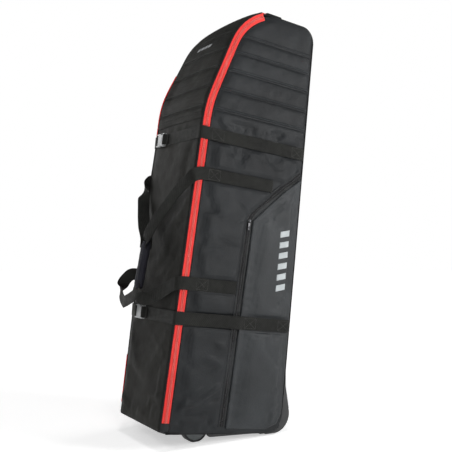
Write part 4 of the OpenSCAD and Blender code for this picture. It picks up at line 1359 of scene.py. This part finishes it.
def buckle(prefix, x0, z, socket_box, plug_body):
    """A side-release buckle whose halves meet at x0. y_face is its front and y_back the side on the case."""
    y_back, y_face = socket_box[1][1], socket_box[0][1]

    def part(name, outline, front, back, round_by, body="case", holes=()):
        return prism(f"{prefix}_{name}", outline, y_face + front, y_back - back, round_by, body,
                     BUCKLE, holes)

    def block(low_x, low_z, high_x, high_z, r, steps=4):
        return rounded_rect(x0 + low_x, z + low_z, x0 + high_x, z + high_z, r, steps)

    def slot_for_web(low_x, high_x):
        return block(low_x, -17, high_x, 17, 1.4, 2)

    y_strap = y_back - 2.2
    loops = (("socket", "case", [(SOCKET_LEN + 16, y_strap), (SOCKET_LEN + 7, y_strap - 1.6),
                                 (SOCKET_LEN + 1, y_face - 0.4), (SOCKET_LEN - 4, y_face - 1.3),
                                 (SOCKET_LEN - 7, y_face + 0.8)]),
             ("plug", plug_body, [(-34, y_strap), (-26, y_strap - 1.4), (-21, y_face + 0.8),
                                  (-16, y_face + 0.1), (-12.5, y_face + 2.2)]))
    for end, rider, points in loops:
        path = catmull([(x0 + x, y, z) for x, y in points], 5)
        ribbon(f"{prefix}_{end}_loop", path, (0, 0, 1), 33.0, 2.0, rider, WEBBING)

    thickness = y_back - y_face
    notch = [(x0 + a, z - HALF_H + b) for a, b in ((6, -1), (19, -1), (16, 6), (9, 6))]
    outline = cut(block(0.4, -HALF_H, SOCKET_LEN, HALF_H, 5), (notch, [(a, 2 * z - b) for a, b in notch]))
    web_slot = slot_for_web(SOCKET_LEN - 7.4, SOCKET_LEN - 4.0)
    front = part("socket_shell", outline, 0.4, thickness - 3.2, 0.9, holes=(web_slot,))
    part("socket_back", outline, thickness - 2.4, 0.2, 0.7, holes=(web_slot,))
    part("socket_core", block(24.4, -12, 26.4, 12, 0.9, 2), 2.6, 2, 0.4)
    for k, side in enumerate((-1, 1)):
        rail, lip = side * (HALF_H - 3.2), side * (HALF_H - 2.6)
        part(f"socket_rail_{k}", block(20.5, rail - 2.6, SOCKET_LEN - 2, rail + 2.6, 1.2, 2), 2.6, 2, 0.5)
        part(f"socket_lip_{k}", block(0.6, lip - 2.4, 6, lip + 2.4, 1.2, 2), 2.6, 2, 0.5)
    part("socket_rib", block(4, -8, 17, 8, 3), -0.2, thickness - 0.8, 0.4)
    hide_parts(prefix + "_socket")

    holes = (slot_for_web(-20, -15.4), slot_for_web(-11.6, -7.4))
    base = part("plug_base", block(-24, -HALF_H, -0.5, HALF_H, 4), 1.2, 1.0, 1.0, plug_body, holes)
    tongue = [(x0 - 2, z - 2.2), (x0 + 20, z - 2.2), (x0 + 22.5, z), (x0 + 20, z + 2.2), (x0 - 2, z + 2.2)]
    part("plug_tongue", tongue, 3.6, 2.8, 0.6, plug_body)
    arm = [(-2, 9), (8, 10.5), (11, 17.4), (20, 17.4), (23, 13.6), (22, 12), (18, 14), (13, 14), (10.5, 8),
           (-2, 6)]
    for k, side in enumerate((-1, 1)):
        outline = [(x0 + a, z + side * b) for a, b in arm]
        part(f"plug_arm_{k}", outline if side > 0 else outline[::-1], 3.7, 2.9, 0.6, plug_body)
    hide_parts(prefix + "_plug")


def cut(outline, notches):
    """An outline with notches taken out of its upper and lower edges."""
    pts = [tuple(p) for p in outline]
    for notch in notches:
        a0, a1 = min(p[0] for p in notch), max(p[0] for p in notch)
        deep = [p for p in sorted(notch) if a0 < p[0] < a1]
        upper = deep[0][1] > np.mean([p[1] for p in pts])
        edge = max(p[1] for p in pts) if upper else min(p[1] for p in pts)
        step = [(a0, edge), deep[0], deep[-1], (a1, edge)]
        for i, (p, q) in enumerate(zip(pts, pts[1:] + pts[:1])):
            if abs(p[1] - edge) < 0.01 and abs(q[1] - edge) < 0.01 and abs(p[0] - q[0]) > 10:
                pts[i + 1:i + 1] = step if q[0] > p[0] else step[::-1]
                break
    return pts


buckle("upper_buckle", UPPER_X, UPPER_STRAP, UPPER_SOCKET, "upper_plug")
buckle("lower_buckle", LOWER_X, LOWER_STRAP, LOWER_SOCKET, "lower_plug")

# ---- carry handles ----

ANCHOR_GAP = 3.9


def anchor_run(y_back, z, sign):
    """The sewn part of a strand, along the side towards the front."""
    return [(sign * (half_width(z) + ANCHOR_GAP), y, z) for y in np.linspace(y_back, -338, 8)]


# Each strand: its sewn part, then its way through the air to the wrap.
HANDLES = {
    "right_upper": anchor_run(-110, UPPER_ANCHOR, 1) + [
        (156, -366, 776), (156.5, -386, 768), (142, -397, 752), (109, -408, 724), (78, -419, 685),
        (46, -431, 644), (22, -440, 606), (10, -444, 578), (5, -443, 548)],
    "right_lower": anchor_run(-208, LOWER_ANCHOR, 1) + [
        (162.5, -370, 458), (162.5, -393, 457), (157, -405, 455), (144, -409, 451), (112, -413, 436),
        (78, -419, 419), (43, -429, 404), (20, -440, 399), (6, -447, 412), (1, -446, 440)],
    "left_upper": anchor_run(-110, UPPER_ANCHOR, -1) + [
        (-157, -362, 776), (-157, -380, 770), (-150, -396, 746), (-131, -406, 712), (-98, -414, 660),
        (-60, -424, 616), (-28, -431, 592), (-10, -435, 574), (-5, -437, 548)],
    "left_lower": anchor_run(-208, LOWER_ANCHOR, -1) + [
        (-163, -370, 462), (-166, -386, 468), (-179, -408, 466), (-192, -424, 442), (-190, -434, 414),
        (-164, -438, 388), (-124, -440, 380), (-84, -444, 386), (-50, -447, 396), (-24, -449, 406),
        (-6, -449, 436)],
}


def strand_upright(name, path):
    """The far upper strand turns to lie flat against the grip; the others stay upright."""
    if name != "left_upper":
        return (0, 0, 1)
    turn = ease((path[:, [0]] + 158) / 50)
    return (1 - turn) * [[0, 0, 1.0]] + turn * [[0, 1.0, 0.25]]


REPLACED = {"right_upper": ("right_handle_webbing", "handle_anchors"), "left_upper": ("left_handle_webbing",)}
for name, pts in HANDLES.items():
    sign = 1 if name.startswith("right") else -1
    path = catmull(pts, 8)
    upright = strand_upright(name, path)
    strand = ribbon(name + "_strand", path, upright, WEB_W, WEB_T, None, WEBBING)
    start, end = (place([sign * x, -430, 560]) for x in (148, 12))
    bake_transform(strand)
    if name in REPLACED:
        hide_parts(*REPLACED[name])

GRIP_LOW, GRIP_TOP = np.array([-2.0, -448.0, 428.0]), np.array([2.0, -439.0, 568.0])
GRIP_WIDE, GRIP_DEEP = 18.2, 13.2


def turn_from(angle, centre):
    """How far an angle is from another, between -pi and pi."""
    return math.remainder(angle - centre, 2 * math.pi)


def grip_rings():
    """The wrap's rings: fuller in the middle, with a flap's edge, two seams and a crumpled surface."""
    length = np.linalg.norm(GRIP_TOP - GRIP_LOW)
    axis = (GRIP_TOP - GRIP_LOW) / length
    u = np.cross([0, 1, 0], axis)
    u /= np.linalg.norm(u)
    v = np.cross(axis, u)
    rings = []
    for t in np.linspace(0, 1, 60):
        full = 0.80 + 0.20 * ease(min(t, 1 - t) / 0.10) + 0.015 * math.sin(t * 37)
        full -= 0.03 * bump(t - 0.5, 0.28)
        ring = []
        for a in np.linspace(0, 2 * math.pi, 48, endpoint=False):
            flap = 1.5 * bump(turn_from(a, 5.3), 0.10) + 0.6 * ease(turn_from(a, 5.3) / 0.3)
            seam = -1.1 * bump(turn_from(a, 1.9), 0.08) - 0.8 * bump(turn_from(a, 3.9), 0.06)
            crumple = 0.5 * math.sin(3 * a + 9 * t) * math.sin(19 * t + a)
            r = full + (flap + seam + crumple) / 18
            across = u * GRIP_WIDE * r * math.cos(a) + v * GRIP_DEEP * r * math.sin(a)
            ring.append(GRIP_LOW + axis * t * length + across)
        rings.append(place(np.array(ring)))
    for inward in (0.86, 0.6):
        rings.insert(0, rings[0].mean(0) + (rings[0] - rings[0].mean(0)) * inward)
        rings.append(rings[-1].mean(0) + (rings[-1] - rings[-1].mean(0)) * inward)
    return rings


grip = tube("handle_grip_wrap", grip_rings(), "grip", GRIP_CLOTH)
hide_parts("handle_grip")

# ---- top handle ----

h0, h1 = span("top_handle")
MID_Y = (h0[1] + h1[1]) / 2
EDGE_X = h1[0]
HALF_ARCH = [(x, h0[2] + lift) for x, lift in ((-EDGE_X, 5), (-120, 11), (-98, 12), (-74, 18), (-50, 21))]
ARCH = HALF_ARCH + [(0, h0[2] + 23)] + [(-x, z) for x, z in reversed(HALF_ARCH)]
arch_path = catmull([(x, MID_Y, z) for x, z in ARCH], 6)
arch = ribbon("top_handle_web", arch_path, (0, 1, 0), 50, 6.0, "case", WEBBING)
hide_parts("top_handle")
pad_path = arch_path[np.abs(arch_path[:, 0]) < 78] + [0, 0, 0.2]
ribbon("top_handle_wrap", pad_path, (0, 1, 0), 60, 9.0, "case", GRIP_CLOTH)
for k, sign in enumerate((-1, 1)):
    for m, dy in enumerate((-20, 20)):
        row = [(sign * x, MID_Y + dy, TOP_Z + 8.4) for x in np.linspace(112, EDGE_X - 3, 8)]
        stitch_row(f"top_handle_stitch_{k}_{m}", row, (0, 0, 1), 4.2)

# ---- rigid pieces ----

CAD_FINISH = {"base_screws": STEEL, "base_board": BOARD, "back_stiffener": BOARD, "right_axle": STEEL,
              "left_axle": STEEL, "right_wheel_bearings": STEEL, "left_wheel_bearings": STEEL}
for node_name, mat in CAD_FINISH.items():
    obj = frame["nodes"][node_name]
    obj.data.materials.clear()
    obj.data.materials.append(mat)

softened("base_tray", 3.0, BASE_PLASTIC, "case")
for name, _ in SIDES:
    softened(name + "_foot", 1.2, GREY_PLASTIC, "case")
    softened(name + "_foot_tread", 1.0, FOOT_RUBBER, "case")
    softened(name + "_skid", 1.5, BASE_PLASTIC, "case")
    softened(name + "_wheel_housing", 0.8, HOUSING_PLASTIC, "case")
    softened(name + "_wheel_hub", 0.7, HUB, name + "_wheel")
    softened(name + "_wheel_tyre", 0.8, TYRE, name + "_wheel")
    softened(name + "_main_slider", 0.5, NICKEL, name + "_slider")
    softened(name + "_main_pull", 0.4, PULL_RED, name + "_pull")
softened("pocket_slider", 0.4, GUNMETAL, "pocket_slide")
softened("pocket_pull", 0.35, GUNMETAL, "pocket_tab")
softened("interior_buckles", 2.0, BUCKLE_BLACK, "case")

low, high = span("interior_straps")
for k, z in enumerate((low[2] + WEB_W / 2, high[2] - WEB_W / 2)):
    path = np.array([(x, (low[1] + high[1]) / 2, z) for x in np.linspace(low[0], high[0], 12)])
    piece = ribbon(f"inner_strap_{k + 1}", path, (0, 0, 1), WEB_W, WEB_T, "case", WEBBING, place)
    if k == 0:
        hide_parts("interior_straps")

# ---- camera, light and floor ----

CAMERA_AT = (1931.2, -1343.1, 461.7)
CAMERA_RIGHT = (0.5245, 0.8451, 0.1038)
CAMERA_AHEAD = (-0.8513, 0.518, 0.0836)
SENSOR = 36.0
FOCAL_SHARE = 1.5713


def turned(v):
    """A direction in the case's axes, in the frame's."""
    x, y, z = v
    return Vector((x, COS * y + SIN * z, COS * z - SIN * y)).normalized()


camera = bpy.data.cameras.new("camera")
camera.sensor_width = SENSOR
camera.lens = FOCAL_SHARE * SENSOR
camera_obj = bpy.data.objects.new("camera", camera)
ahead = turned(CAMERA_AHEAD)
right = turned(CAMERA_RIGHT)
right = (right - ahead * right.dot(ahead)).normalized()
up = right.cross(ahead)
turn = Matrix((right, up, -ahead)).transposed().to_4x4()
camera_obj.matrix_world = Matrix.Translation(Vector(place(CAMERA_AT))) @ turn
bpy.context.scene.collection.objects.link(camera_obj)
bpy.context.scene.camera = camera_obj

middle = Vector(((cad_box[0][0] + cad_box[1][0]) / 2, (cad_box[0][1] + cad_box[1][1]) / 2, 0.65))


def area_light(name, at, size, power):
    data = bpy.data.lights.new(name, "AREA")
    data.shape = "RECTANGLE"
    data.size, data.size_y = size
    data.energy = power
    obj = bpy.data.objects.new(name, data)
    obj.location = at
    obj.rotation_euler = (middle - Vector(at)).to_track_quat("-Z", "Y").to_euler()
    bpy.context.scene.collection.objects.link(obj)


area_light("key", (2.3, 1.7, 1.3), (0.9, 1.1), 56)
area_light("front", (1.1, -2.5, 2.2), (1.0, 0.8), 18)
area_light("top", (1.1, -0.6, 3.4), (0.8, 0.8), 22)
area_light("fill", (-2.6, -1.2, 1.8), (1.6, 1.6), 18)
area_light("back", (-0.6, 3.0, 2.2), (1.8, 1.4), 30)

world = bpy.data.worlds.new("studio")
bpy.context.scene.world = world
world.use_nodes = True
sky = world.node_tree.nodes["Background"]
sky.inputs["Color"].default_value = (1, 1, 1, 1)
sky.inputs["Strength"].default_value = 0.10
bpy.context.scene.view_settings.view_transform = "Standard"

STUDIO_R, SPOKES, LEVELS = 12.0, 48, 10


def studio(name, points, faces, mat):
    mesh = bpy.data.meshes.new(name)
    mesh.from_pydata(points, [], faces)
    mesh.materials.append(mat)
    obj = bpy.data.objects.new(name, mesh)
    bpy.context.scene.collection.objects.link(obj)
    return obj


spokes = np.linspace(0, 2 * math.pi, SPOKES, endpoint=False)
rim_points = [(STUDIO_R * math.cos(t), STUDIO_R * math.sin(t)) for t in spokes]
studio("floor", [(x, y, 0) for x, y in rim_points], [tuple(range(SPOKES))], FLOOR)
dome = [(0.98 * x * math.cos(e), 0.98 * y * math.cos(e), STUDIO_R * math.sin(e) - 0.3)
        for e in np.linspace(0, math.pi / 2 - 0.02, LEVELS) for x, y in rim_points]
dome_faces = [tuple(range(SPOKES * (LEVELS - 1), SPOKES * LEVELS))]
for level in range(LEVELS - 1):
    for i in range(SPOKES):
        here, beside = SPOKES * level + i, SPOKES * level + (i + 1) % SPOKES
        dome_faces.append((here, here + SPOKES, beside + SPOKES, beside))
shell = studio("backdrop", dome, dome_faces, BACKDROP)
shell.visible_diffuse = False
shell.visible_glossy = False
shell.visible_shadow = False
shell.visible_transmission = False
